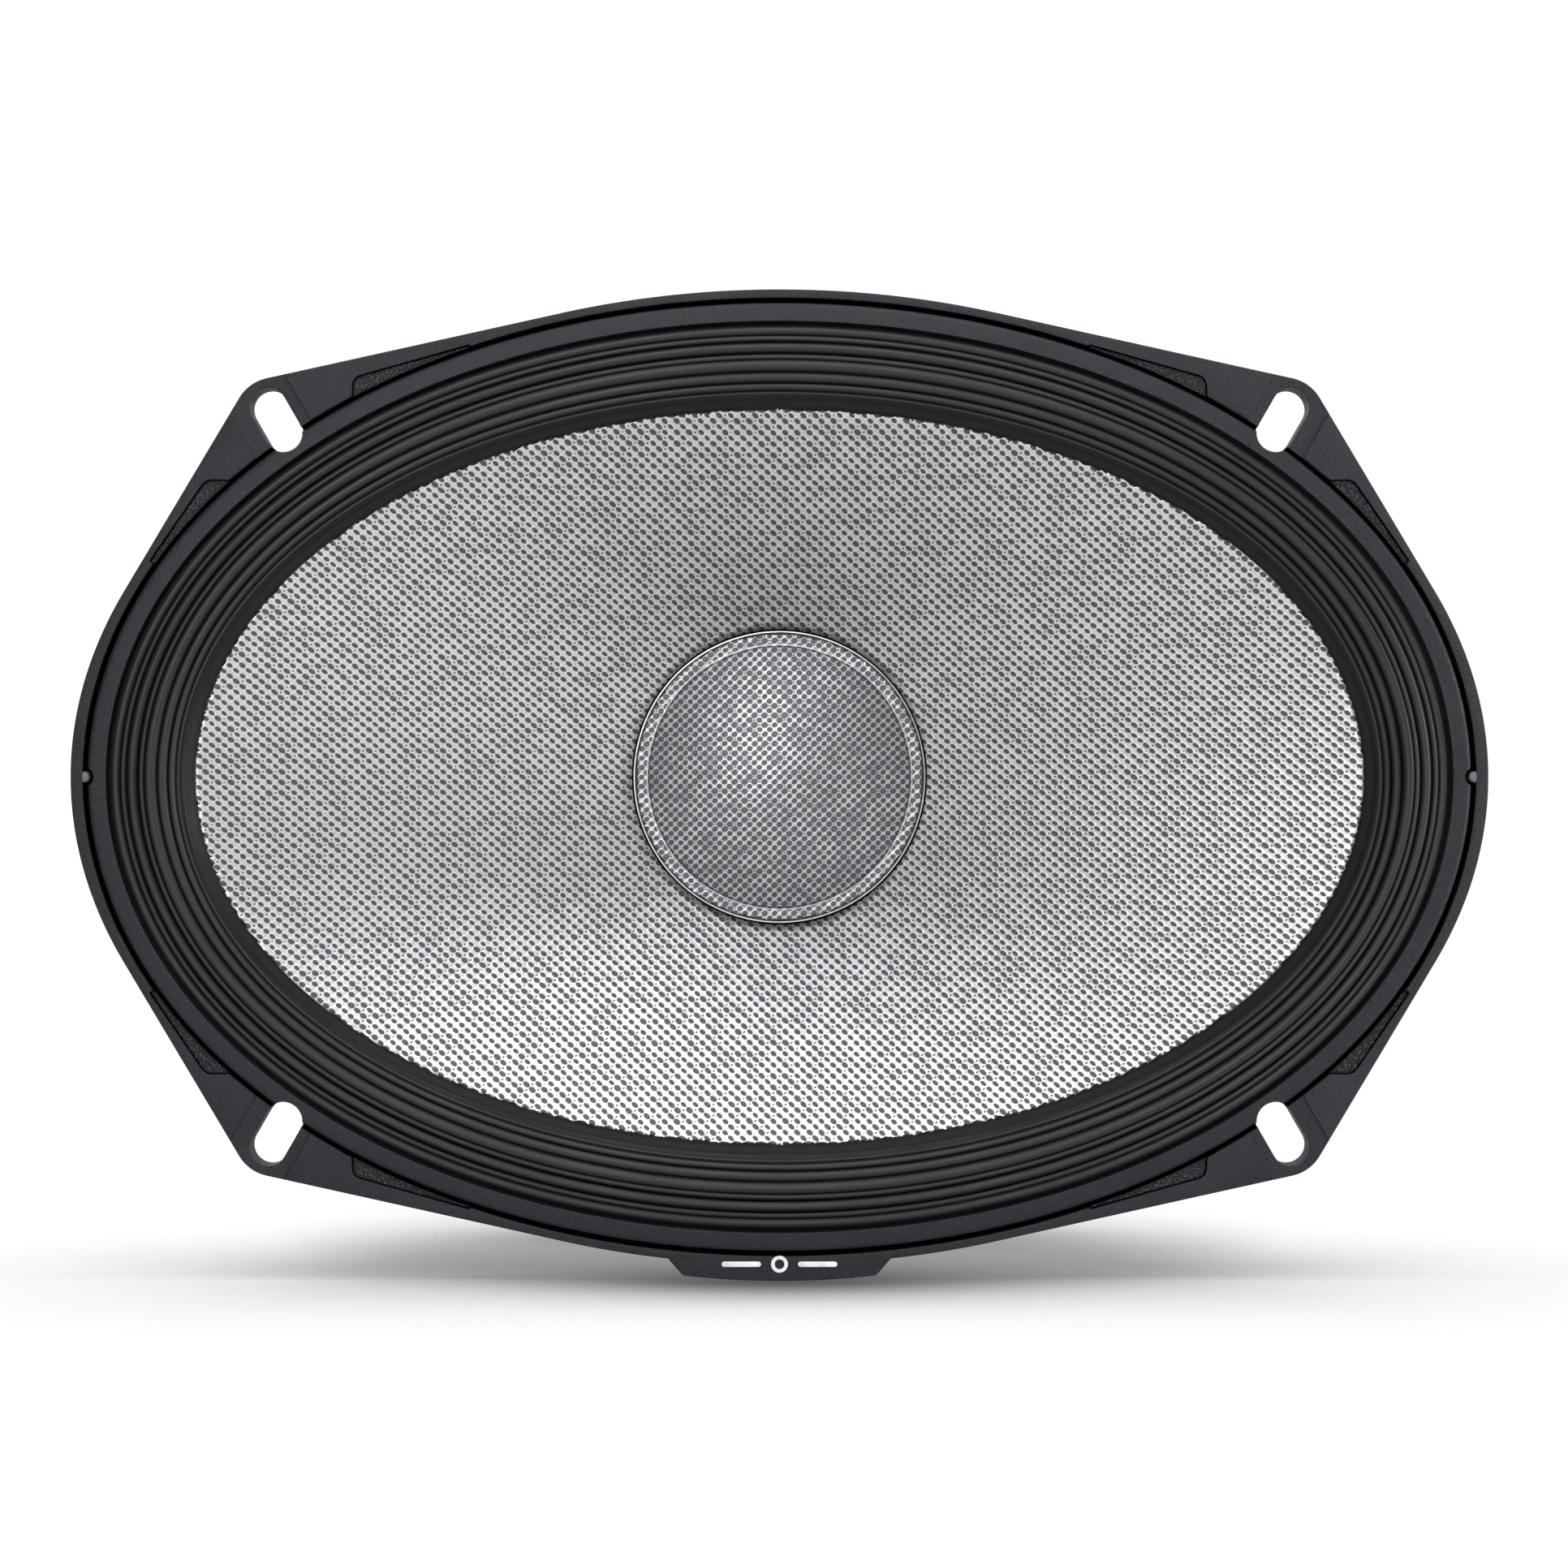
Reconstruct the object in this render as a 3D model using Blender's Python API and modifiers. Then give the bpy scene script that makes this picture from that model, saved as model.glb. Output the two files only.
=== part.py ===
"""Elliptical 6 x 9 inch car speaker with a woven cone.

Built in the speaker's own axes: local +Z points out of the cone towards the
listener, local +Y is up on the flange, and local Z = 0 is the plane that the
flange's back rests on. One empty turns these axes so that the front faces
world -Y and the origin is the middle of the flat back of the magnet boot.
"""

import math

import bmesh
import bpy
from mathutils import Vector
from mathutils.geometry import convex_hull_2d

MM = 0.001

# Driving dimensions, in metres
FLANGE_WIDTH = 238.0 * MM
FLANGE_HEIGHT = 163.7 * MM
FLANGE_THICKNESS = 6.0 * MM
MOUNTING_DEPTH = 82.0 * MM
FIT_GAP = 0.3 * MM

# Cone rim ellipse; every ring around it is a parallel curve of this ellipse
CONE_HALF_WIDTH = 98.7 * MM
CONE_HALF_HEIGHT = 62.2 * MM
CONE_FRONT_Z = 1.6 * MM
CONE_DEPTH = 29.6 * MM
CONE_WALL = 1.2 * MM
CAP_SEAT_RADIUS = 27.0 * MM
CAP_RADIUS = 25.8 * MM
CAP_RIM_WIDTH = 2.4 * MM
CAP_HEIGHT = 6.5 * MM
CAP_WALL = 0.8 * MM

# Parallel distances outwards from the cone rim
SURROUND_OUTER = 14.25 * MM
SURROUND_FOOT = 15.3 * MM
RING_OUTER = 17.35 * MM
RECESS_OUTER = 18.15 * MM
SKIRT_OUTER = 12.0 * MM
SKIRT_INNER = 10.2 * MM
GASKET_INNER = 12.4 * MM
GASKET_OUTER = 14.0 * MM
GASKET_BACK_Z = -2.3 * MM

# Heights of the flange's steps
RECESS_FLOOR_Z = 3.6 * MM
FOOT_TOP_Z = 4.9 * MM
RING_TOP_Z = 6.7 * MM
RING_EDGE_Z = 5.9 * MM
RING_SLOPE_WIDTH = 0.8 * MM
SKIRT_TOP_Z = 3.2 * MM

# Mounting lugs and slots
LUG_X = 84.6 * MM
LUG_Y = 60.0 * MM
LUG_RADIUS = 7.1 * MM
SLOT_LENGTH = 11.4 * MM
SLOT_WIDTH = 6.3 * MM
SLOT_LEAN = math.radians(30.0)
TAB_HALF_WIDTH = 18.7 * MM
TAB_FOOT_HALF_WIDTH = 16.2 * MM
TAB_CORNER_Y = -83.7 * MM
TAB_BOTTOM_Y = -84.6 * MM
BOSS_WALL = 1.2 * MM
BOSS_HEIGHT = 1.0 * MM
PEG_X = 116.7 * MM
PEG_RADIUS = 0.9 * MM
PEG_NOTCH_RADIUS = 1.7 * MM
POCKET_DEPTH = 0.7 * MM
POCKET_CORNER = 1.0 * MM

# Basket bowl
BOWL_TOP_Z = -10.0 * MM
SHELF_RADIUS = 50.0 * MM
SHELF_Z = -41.0 * MM
SHELF_INNER_RADIUS = 43.0 * MM
SHELF_BACK_Z = -43.5 * MM
BOWL_WALL = 2.0 * MM
BOWL_SLANT = 1.4 * MM
SEAT_WALL = 2.5 * MM
SEAT_HOLE_RADIUS = 30.0 * MM
SEAT_FRONT_Z = -47.9 * MM
SEAT_BACK_Z = -49.9 * MM
WINDOW_FRONT_Z = -13.0 * MM
WINDOW_BACK_Z = -39.2 * MM
SPOKE_ANGLES = (0.0, 40.0, 90.0, 140.0, 180.0, 220.0, 320.0)
SPOKE_HALF_WIDTH = 5.5 * MM

# Motor
COIL_INNER_RADIUS = 19.0 * MM
FORMER_WALL = 0.4 * MM
FORMER_FRONT_Z = -31.5 * MM
COIL_BACK_Z = -61.0 * MM
COIL_HEIGHT = 16.0 * MM
COIL_WALL = 0.7 * MM
TOP_PLATE_RADIUS = 48.0 * MM
TOP_PLATE_HOLE = 21.0 * MM
PLATE_THICKNESS = 6.0 * MM
MAGNET_RADIUS = 50.0 * MM
MAGNET_HOLE = 27.0 * MM
MAGNET_THICKNESS = 17.7 * MM
POLE_RADIUS = 18.0 * MM
POLE_CAP_RADIUS = 18.6 * MM
POLE_CAP_DEPTH = 8.0 * MM
BOOT_WALL = 1.5 * MM
BOOT_RADIUS = 52.8 * MM
BOOT_FRONT_Z = -57.5 * MM
BOOT_FILLET = 2.0 * MM
SCREW_CIRCLE = 37.0 * MM
SCREW_RADIUS = 1.9 * MM
SCREW_HEAD_RADIUS = 3.3 * MM
SCREW_HEAD_HEIGHT = 2.2 * MM
SCREW_LENGTH = 4.4 * MM
MOTOR_CHAMFER = 1.0 * MM

# Suspension
SPIDER_RADIUS = 49.4 * MM
SPIDER_WALL = 0.8 * MM
SPIDER_WAVE = 1.3 * MM
SPIDER_WAVES = 4
SPIDER_GLUE = 2.0 * MM
SURROUND_WALL = 1.0 * MM
SURROUND_LIP = 0.06
NECK_LENGTH = 6.0 * MM

# Terminals
TERMINAL_X = 9.0 * MM
EAR_HALF_WIDTH = 18.0 * MM
EAR_TIP_Y = -65.5 * MM
EAR_ROOT_Y = -46.0 * MM
BOARD_INNER_Y = -54.5 * MM
BOARD_OUTER_Y = -64.5 * MM
BOARD_THICKNESS = 3.0 * MM
BLADE_THICKNESS = 0.8 * MM
BLADE_ROOT_THICKNESS = 0.9 * MM
BLADE_ROOT_Y = -65.5 * MM
BLADE_SHOULDER = 0.7 * MM
BLADE_INNER_Y = -56.0 * MM
BLADE_TIP_Y = -73.5 * MM
BLADE_NOSE = 1.2 * MM
POSITIVE_WIDTH = 6.3 * MM
NEGATIVE_WIDTH = 4.8 * MM
RIVET_Y = -60.5 * MM
RIVET_RADIUS = 1.5 * MM
LEAD_RADIUS = 0.6 * MM
JOINT_RADIUS = 1.6 * MM

# Facets
RIM_STEPS = 72
TURN_STEPS = 48
SMALL_STEPS = 12


def clear_scene():
    """Empty the scene."""
    for obj in list(bpy.data.objects):
        bpy.data.objects.remove(obj, do_unlink=True)


def new_collection(name):
    """A collection linked to the scene."""
    collection = bpy.data.collections.new(name)
    bpy.context.scene.collection.children.link(collection)
    return collection


def paint(name, colour, roughness, metallic=0.0):
    """A Principled material."""
    material = bpy.data.materials.new(name)
    material.use_nodes = True
    shader = material.node_tree.nodes["Principled BSDF"]
    shader.inputs["Base Color"].default_value = (*colour, 1.0)
    shader.inputs["Roughness"].default_value = roughness
    shader.inputs["Metallic"].default_value = metallic
    return material


clear_scene()
PARTS = new_collection("car_speaker")
CUTTERS = new_collection("cutters")

# The speaker's axes: front towards world -Y, up towards world +Z
AXIS = bpy.data.objects.new("speaker_axis", None)
AXIS.rotation_euler = (math.pi / 2, 0.0, 0.0)
AXIS.location = (0.0, -MOUNTING_DEPTH, 0.0)
PARTS.objects.link(AXIS)

# The moving assembly's own empty, on the axis that the cone slides along
MOVING = bpy.data.objects.new("cone_axis", None)
MOVING.parent = AXIS
PARTS.objects.link(MOVING)


def part(name, mesh, material, parent=AXIS, smooth_angle=35.0):
    """A named piece of the speaker, carried by one of the two axes."""
    obj = bpy.data.objects.new(name, mesh)
    obj.parent = parent
    if len(mesh.polygons):
        mesh.shade_smooth()
        mesh.set_sharp_from_angle(angle=math.radians(smooth_angle))
    mesh.materials.append(material)
    PARTS.objects.link(obj)
    return obj


def cutter(name, mesh):
    """A guide body that shapes a piece and is not one itself."""
    obj = bpy.data.objects.new(name, mesh)
    obj.parent = AXIS
    obj.hide_render = True
    obj.display_type = "WIRE"
    CUTTERS.objects.link(obj)
    return obj


def combine(obj, other, operation="DIFFERENCE"):
    """Cut a guide body out of a piece, or join it on."""
    modifier = obj.modifiers.new(other.name, "BOOLEAN")
    modifier.operation = operation
    modifier.solver = "EXACT"
    modifier.object = other


def rim_point(angle, distance, z):
    """A point on the parallel curve at a distance outside the cone rim."""
    across = CONE_HALF_HEIGHT * math.cos(angle)
    up = CONE_HALF_WIDTH * math.sin(angle)
    length = math.hypot(across, up)
    x = CONE_HALF_WIDTH * math.cos(angle) + distance * across / length
    y = CONE_HALF_HEIGHT * math.sin(angle) + distance * up / length
    return Vector((x, y, z))


def round_point(angle, radius, z):
    """A point on a circle around the speaker axis."""
    return Vector((radius * math.cos(angle), radius * math.sin(angle), z))


def turn_angles(steps):
    """Evenly spaced angles around one turn."""
    return [2.0 * math.pi * i / steps for i in range(steps)]


def rim_ring(distance, z, steps=RIM_STEPS):
    """A ring of points that is parallel to the cone rim."""
    return [rim_point(angle, distance, z) for angle in turn_angles(steps)]


def round_ring(radius, z, steps=RIM_STEPS):
    """A circle of points."""
    return [round_point(angle, radius, z) for angle in turn_angles(steps)]


def cone_ring(share, drop, steps=RIM_STEPS):
    """A ring on the cone's front, a share of the way from rim to cap seat."""
    points = []
    depth = CONE_DEPTH * share * (0.88 + 0.12 * share)
    for angle in turn_angles(steps):
        rim = rim_point(angle, 0.0, CONE_FRONT_Z)
        seat = round_point(angle, CAP_SEAT_RADIUS, CONE_FRONT_Z)
        point = rim.lerp(seat, share)
        point.z -= depth + drop
        points.append(point)
    return points


def skin(name, rings):
    """A closed band skinned around a loop of rings."""
    bm = bmesh.new()
    loops = [[bm.verts.new(point) for point in ring] for ring in rings]
    for near, far in zip(loops, loops[1:] + loops[:1]):
        for i in range(len(near)):
            j = (i + 1) % len(near)
            bm.faces.new((near[i], near[j], far[j], far[i]))
    bmesh.ops.recalc_face_normals(bm, faces=bm.faces)
    mesh = bpy.data.meshes.new(name)
    bm.to_mesh(mesh)
    bm.free()
    return mesh


def turned(name, profile, material, parent=AXIS, steps=TURN_STEPS, closed=True):
    """A profile of (radius, z) points turned around the local Z axis."""
    mesh = bpy.data.meshes.new(name)
    edges = [(i, i + 1) for i in range(len(profile) - 1)]
    if closed:
        edges.append((len(profile) - 1, 0))
    mesh.from_pydata([(r, 0.0, z) for r, z in profile], edges, [])
    obj = part(name, mesh, material, parent)
    screw = obj.modifiers.new("turn", "SCREW")
    screw.steps = steps
    screw.render_steps = steps
    screw.use_merge_vertices = True
    screw.merge_threshold = 0.00001
    screw.use_smooth_shade = True
    return obj


def outline_mesh(name, outlines, back_z, front_z, whole_faces=True):
    """A plate with the given closed outlines; an inner outline is a hole.

    whole_faces leaves each flat side as one face, which cuts cleanly; a plate
    with a hole keeps its triangles.
    """
    curve = bpy.data.curves.new(name, "CURVE")
    curve.dimensions = "2D"
    curve.fill_mode = "BOTH"
    curve.extrude = (front_z - back_z) / 2.0
    for outline in outlines:
        spline = curve.splines.new("POLY")
        spline.points.add(len(outline) - 1)
        for control, point in zip(spline.points, outline):
            control.co = (point[0], point[1], 0.0, 1.0)
        spline.use_cyclic_u = True
    guide = bpy.data.objects.new(name, curve)
    bpy.context.scene.collection.objects.link(guide)
    bpy.context.view_layer.update()
    depsgraph = bpy.context.evaluated_depsgraph_get()
    mesh = bpy.data.meshes.new_from_object(guide.evaluated_get(depsgraph))
    bpy.data.objects.remove(guide, do_unlink=True)
    bm = bmesh.new()
    bm.from_mesh(mesh)
    bmesh.ops.remove_doubles(bm, verts=bm.verts, dist=0.00001)
    if whole_faces:
        bmesh.ops.dissolve_limit(bm, angle_limit=0.001, verts=bm.verts, edges=bm.edges)
    bmesh.ops.translate(bm, verts=bm.verts, vec=(0.0, 0.0, (front_z + back_z) / 2.0))
    bmesh.ops.recalc_face_normals(bm, faces=bm.faces)
    bm.to_mesh(mesh)
    bm.free()
    return mesh


def arc(centre, radius, start, end, steps):
    """Points along an arc, both ends included."""
    points = []
    for i in range(steps + 1):
        angle = start + (end - start) * i / steps
        x = centre[0] + radius * math.cos(angle)
        y = centre[1] + radius * math.sin(angle)
        points.append((x, y))
    return points


def box_mesh(name, x0, x1, y0, y1, z0, z1):
    """A box between two corners."""
    bm = bmesh.new()
    bmesh.ops.create_cube(bm, size=1.0)
    bmesh.ops.scale(bm, verts=bm.verts, vec=(x1 - x0, y1 - y0, z1 - z0))
    middle = ((x0 + x1) / 2.0, (y0 + y1) / 2.0, (z0 + z1) / 2.0)
    bmesh.ops.translate(bm, verts=bm.verts, vec=middle)
    mesh = bpy.data.meshes.new(name)
    bm.to_mesh(mesh)
    bm.free()
    return mesh


def pins_mesh(name, places, radius, z0, z1, steps=SMALL_STEPS):
    """Upright cylinders at the given places, in one mesh."""
    bm = bmesh.new()
    for x, y in places:
        made = bmesh.ops.create_cone(bm, cap_ends=True, segments=steps,
                                     radius1=radius, radius2=radius, depth=z1 - z0)
        bmesh.ops.translate(bm, verts=made["verts"], vec=(x, y, (z0 + z1) / 2.0))
    mesh = bpy.data.meshes.new(name)
    bm.to_mesh(mesh)
    bm.free()
    return mesh


def flange_outline():
    """Ellipse and four lugs wrapped by tangents, with the foot tab below."""
    points = []
    for angle in turn_angles(RIM_STEPS + 24):
        points.append((FLANGE_WIDTH / 2 * math.cos(angle), FLANGE_HEIGHT / 2 * math.sin(angle)))
    for side_x in (1, -1):
        for side_y in (1, -1):
            centre = (side_x * LUG_X, side_y * LUG_Y)
            points += arc(centre, LUG_RADIUS, 0.0, 2.0 * math.pi, 40)[:-1]
    hull = [points[i] for i in convex_hull_2d([Vector(p) for p in points])]
    above = [p for p in hull if p[1] > 0.0 or abs(p[0]) > TAB_HALF_WIDTH + 1.0 * MM]
    above.sort(key=lambda p: math.atan2(p[0], -p[1]) % (2.0 * math.pi))
    return tab_outline() + above


def tab_outline():
    """The foot tab, from its left root to its right root."""
    root_y = -FLANGE_HEIGHT / 2 * math.sqrt(1.0 - (2.0 * TAB_HALF_WIDTH / FLANGE_WIDTH) ** 2)
    points = [(-TAB_HALF_WIDTH, root_y)]
    steps = 6
    for i in range(steps + 1):
        share = 2.0 * i / steps - 1.0
        y = TAB_BOTTOM_Y + (TAB_CORNER_Y - TAB_BOTTOM_Y) * share * share
        points.append((share * TAB_FOOT_HALF_WIDTH, y))
    points.append((TAB_HALF_WIDTH, root_y))
    return points


def slot_outline(side_x, side_y, extra=0.0):
    """One mounting slot, leaning outwards at its lug."""
    lean = (side_x * math.sin(SLOT_LEAN), side_y * math.cos(SLOT_LEAN))
    facing = math.atan2(lean[1], lean[0])
    reach = (SLOT_LENGTH - SLOT_WIDTH) / 2.0
    radius = SLOT_WIDTH / 2.0 + extra
    outer = (side_x * LUG_X + lean[0] * reach, side_y * LUG_Y + lean[1] * reach)
    inner = (side_x * LUG_X - lean[0] * reach, side_y * LUG_Y - lean[1] * reach)
    quarter = math.pi / 2.0
    points = arc(outer, radius, facing - quarter, facing + quarter, 8)
    points += arc(inner, radius, facing + quarter, facing + 3.0 * quarter, 8)
    return points


def slot_outlines(extra=0.0):
    """The four mounting slots."""
    return [slot_outline(sx, sy, extra) for sx in (1, -1) for sy in (1, -1)]


def pocket_outline(root, corner, tip, side_x, side_y):
    """A shallow tapering pocket, open to the recess along its inner side."""
    root, corner, tip = Vector(root), Vector(corner), Vector(tip)
    inwards = (root - corner).normalized()
    along = (tip - corner).normalized()
    radius = POCKET_CORNER
    points = [root + inwards * radius]
    # Round the outer corner between the root edge and the long outer edge
    steps = 4
    for i in range(steps + 1):
        share = i / steps
        start = corner + inwards * radius
        end = corner + along * radius
        points.append(start.lerp(corner, share).lerp(corner.lerp(end, share), share))
    points.append(tip)
    points.append(tip + (root - tip) * 0.05 + inwards * radius)
    return [(side_x * point.x, side_y * point.y) for point in points]


def pocket_outlines():
    """Two pockets beside each lug: a long one and a side one."""
    long_pocket = ((72.0 * MM, 63.8 * MM), (71.4 * MM, 66.9 * MM), (52.0 * MM, 72.4 * MM))
    side_pocket = ((92.6 * MM, 50.3 * MM), (95.9 * MM, 49.6 * MM), (105.4 * MM, 36.0 * MM))
    outlines = []
    for side_x in (1, -1):
        for side_y in (1, -1):
            for root, corner, tip in (long_pocket, side_pocket):
                outlines.append(pocket_outline(root, corner, tip, side_x, side_y))
    return outlines


def bowl_mesh():
    """The basket behind the flange: skirt, sloping wall, shelf and motor seat."""
    outer_wall = SHELF_RADIUS + BOWL_WALL
    seat_radius = SHELF_INNER_RADIUS + SEAT_WALL
    rings = [
        rim_ring(SKIRT_OUTER, SKIRT_TOP_Z),
        rim_ring(SKIRT_OUTER, BOWL_TOP_Z),
        round_ring(outer_wall, SHELF_Z + BOWL_WALL / 2.0),
        round_ring(outer_wall, SHELF_BACK_Z),
        round_ring(seat_radius, SHELF_BACK_Z),
        round_ring(seat_radius, SEAT_BACK_Z),
        round_ring(SEAT_HOLE_RADIUS, SEAT_BACK_Z),
        round_ring(SEAT_HOLE_RADIUS, SEAT_FRONT_Z),
        round_ring(SHELF_INNER_RADIUS, SEAT_FRONT_Z),
        round_ring(SHELF_INNER_RADIUS, SHELF_Z),
        round_ring(SHELF_RADIUS, SHELF_Z),
        round_ring(SHELF_RADIUS, SHELF_Z + 2.0 * BOWL_SLANT),
        rim_ring(SKIRT_INNER, BOWL_TOP_Z + BOWL_SLANT),
        rim_ring(SKIRT_INNER, SKIRT_TOP_Z),
    ]
    return skin("bowl", rings)


def rim_plug(name, distance, back_z):
    """A plug parallel to the cone rim, standing out of the flange's front."""
    outline = [(point.x, point.y) for point in rim_ring(distance, 0.0)]
    return outline_mesh(name, [outline], back_z, 2.0 * FLANGE_THICKNESS)


def window_outline(start_degrees, end_degrees):
    """The opening between two spokes, seen along the speaker axis."""
    reach = 150.0 * MM
    start = math.radians(start_degrees)
    end = math.radians(end_degrees)
    # Where the two spokes' facing edges would meet near the axis
    half = (end - start) / 2.0
    middle = (start + end) / 2.0
    meet = SPOKE_HALF_WIDTH / math.sin(half)
    corner = Vector((meet * math.cos(middle), meet * math.sin(middle)))
    first = corner + reach * Vector((math.cos(start), math.sin(start)))
    last = corner + reach * Vector((math.cos(end), math.sin(end)))
    far = 2.0 * reach * Vector((math.cos(middle), math.sin(middle)))
    return [tuple(corner), tuple(first), tuple(far), tuple(last)]


def window_outlines():
    """One opening after each spoke."""
    outlines = []
    ends = SPOKE_ANGLES[1:] + (SPOKE_ANGLES[0] + 360.0,)
    for start, end in zip(SPOKE_ANGLES, ends):
        outlines.append(window_outline(start, end))
    return outlines


def make_basket(material):
    """Moulded basket: slotted flange, recess, pegs, bowl, spokes, terminal ear."""
    mesh = outline_mesh("basket", [flange_outline()], 0.0, FLANGE_THICKNESS)
    basket = part("basket", mesh, material)
    combine(basket, cutter("opening", rim_plug("opening", SKIRT_OUTER - 0.8 * MM, -5.0 * MM)))
    combine(basket, cutter("recess", rim_plug("recess", RECESS_OUTER, RECESS_FLOOR_Z)))
    boss_mesh = outline_mesh("bosses", slot_outlines(BOSS_WALL), -BOSS_HEIGHT,
                             RECESS_FLOOR_Z / 2.0)
    combine(basket, cutter("bosses", boss_mesh), "UNION")
    slot_mesh = outline_mesh("slots", slot_outlines(), -5.0 * MM, 2.0 * FLANGE_THICKNESS)
    combine(basket, cutter("slots", slot_mesh))
    pocket_mesh = outline_mesh("pockets", pocket_outlines(),
                               FLANGE_THICKNESS - POCKET_DEPTH, 2.0 * FLANGE_THICKNESS)
    combine(basket, cutter("pockets", pocket_mesh))

    bowl = cutter("bowl", bowl_mesh())
    window_mesh = outline_mesh("windows", window_outlines(), WINDOW_BACK_Z, WINDOW_FRONT_Z)
    combine(bowl, cutter("windows", window_mesh))
    combine(basket, bowl, "UNION")

    # The ear's two faces lie just inside the shelf's, so that the bodies join cleanly
    ear = box_mesh("terminal_ear", -EAR_HALF_WIDTH, EAR_HALF_WIDTH, EAR_TIP_Y,
                   EAR_ROOT_Y, SHELF_BACK_Z + 0.3 * MM, SHELF_Z - 0.2 * MM)
    combine(basket, cutter("terminal_ear", ear), "UNION")
    pegs = pins_mesh("pegs", [(PEG_X, 0.0), (-PEG_X, 0.0)], PEG_RADIUS,
                     RECESS_FLOOR_Z - 1.0 * MM, RING_EDGE_Z)
    combine(basket, cutter("pegs", pegs), "UNION")

    rivet_holes = pins_mesh("rivet_holes", rivet_places(), RIVET_RADIUS + FIT_GAP,
                            SHELF_Z - 6.0 * MM, SHELF_Z + 6.0 * MM)
    combine(basket, cutter("rivet_holes", rivet_holes))
    screw_holes = pins_mesh("seat_holes", screw_places(), SCREW_RADIUS + FIT_GAP,
                            SEAT_BACK_Z - 2.0 * MM, SEAT_FRONT_Z + 2.0 * MM)
    combine(basket, cutter("seat_holes", screw_holes))
    return basket


def make_clamp_ring(material):
    """Ring that traps the surround's foot, notched for the pegs and slots."""
    foot_edge = SURROUND_FOOT + FIT_GAP
    bottom_z = RECESS_FLOOR_Z + FIT_GAP
    step_z = FOOT_TOP_Z + FIT_GAP
    rings = [
        rim_ring(SURROUND_OUTER, RING_TOP_Z),
        rim_ring(SURROUND_OUTER, step_z),
        rim_ring(foot_edge, step_z),
        rim_ring(foot_edge, bottom_z),
        rim_ring(RING_OUTER, bottom_z),
        rim_ring(RING_OUTER, RING_EDGE_Z),
        rim_ring(RING_OUTER - RING_SLOPE_WIDTH, RING_TOP_Z - 0.1 * MM),
    ]
    ring = part("clamp_ring", skin("clamp_ring", rings), material)
    slots = outline_mesh("ring_slots", slot_outlines(FIT_GAP), 0.0, 2.0 * FLANGE_THICKNESS)
    combine(ring, cutter("ring_slots", slots))
    notches = pins_mesh("ring_notches", [(PEG_X, 0.0), (-PEG_X, 0.0)],
                        PEG_NOTCH_RADIUS, 0.0, 2.0 * FLANGE_THICKNESS)
    combine(ring, cutter("ring_notches", notches))
    return ring


def surround_rolls():
    """Crests and valleys of the rolls: (distance inside the ring, height)."""
    return [
        (0.3 * MM, FOOT_TOP_Z),
        (0.6 * MM, 6.0 * MM),
        (1.4 * MM, 6.5 * MM),
        (3.2 * MM, 6.0 * MM),
        (4.1 * MM, 7.1 * MM),
        (5.2 * MM, 6.5 * MM),
        (6.4 * MM, 7.35 * MM),
        (8.2 * MM, 6.6 * MM),
        (9.0 * MM, 6.7 * MM),
        (9.8 * MM, 6.0 * MM),
        (11.6 * MM, 4.4 * MM),
    ]


def make_surround(material):
    """Rubber surround: glued foot, rolls, steep inner wall, lip behind the cone."""
    under = CONE_WALL + FIT_GAP
    foot_z = RECESS_FLOOR_Z + FIT_GAP
    rings = [rim_ring(SURROUND_FOOT, FOOT_TOP_Z)]
    for inside, z in surround_rolls():
        rings.append(rim_ring(SURROUND_OUTER - inside, z))
    rings.append(rim_ring(FIT_GAP, CONE_FRONT_Z - 0.2 * MM))
    rings.append(rim_ring(FIT_GAP, CONE_FRONT_Z - under))
    rings.append(cone_ring(SURROUND_LIP, under))
    rings.append(cone_ring(SURROUND_LIP, under + SURROUND_WALL))
    rings.append(rim_ring(SURROUND_WALL, CONE_FRONT_Z - under - SURROUND_WALL))
    # The underside follows the rolls about one wall thickness below them
    for inside, z in ((10.0 * MM, 4.9 * MM), (6.9 * MM, 5.6 * MM), (3.9 * MM, 5.5 * MM),
                      (1.6 * MM, foot_z)):
        rings.append(rim_ring(SURROUND_OUTER - inside, z))
    rings.append(rim_ring(SURROUND_FOOT, foot_z))
    return part("surround", skin("surround", rings), material, smooth_angle=60.0)


def make_cone(material):
    """Woven cone: elliptical rim, curved wall, cap seat and round neck."""
    steps = 64
    neck = COIL_INNER_RADIUS + FORMER_WALL + 0.35 * MM
    seat_z = CONE_FRONT_Z - CONE_DEPTH
    inner_seat = CAP_RADIUS - CAP_RIM_WIDTH - 2.0 * FIT_GAP
    shares = (0.0, 0.33, 0.67, 1.0)
    rings = [cone_ring(share, 0.0, steps) for share in shares]
    rings.append(round_ring(inner_seat, seat_z - 0.9 * MM, steps))
    rings.append(round_ring(neck, seat_z - 0.75 * NECK_LENGTH, steps))
    rings.append(round_ring(neck, seat_z - NECK_LENGTH, steps))
    rings.append(round_ring(inner_seat, seat_z - 2.2 * MM, steps))
    rings += [cone_ring(share, CONE_WALL, steps) for share in reversed(shares)]
    return part("cone", skin("cone", rings), material, MOVING, smooth_angle=60.0)


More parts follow.
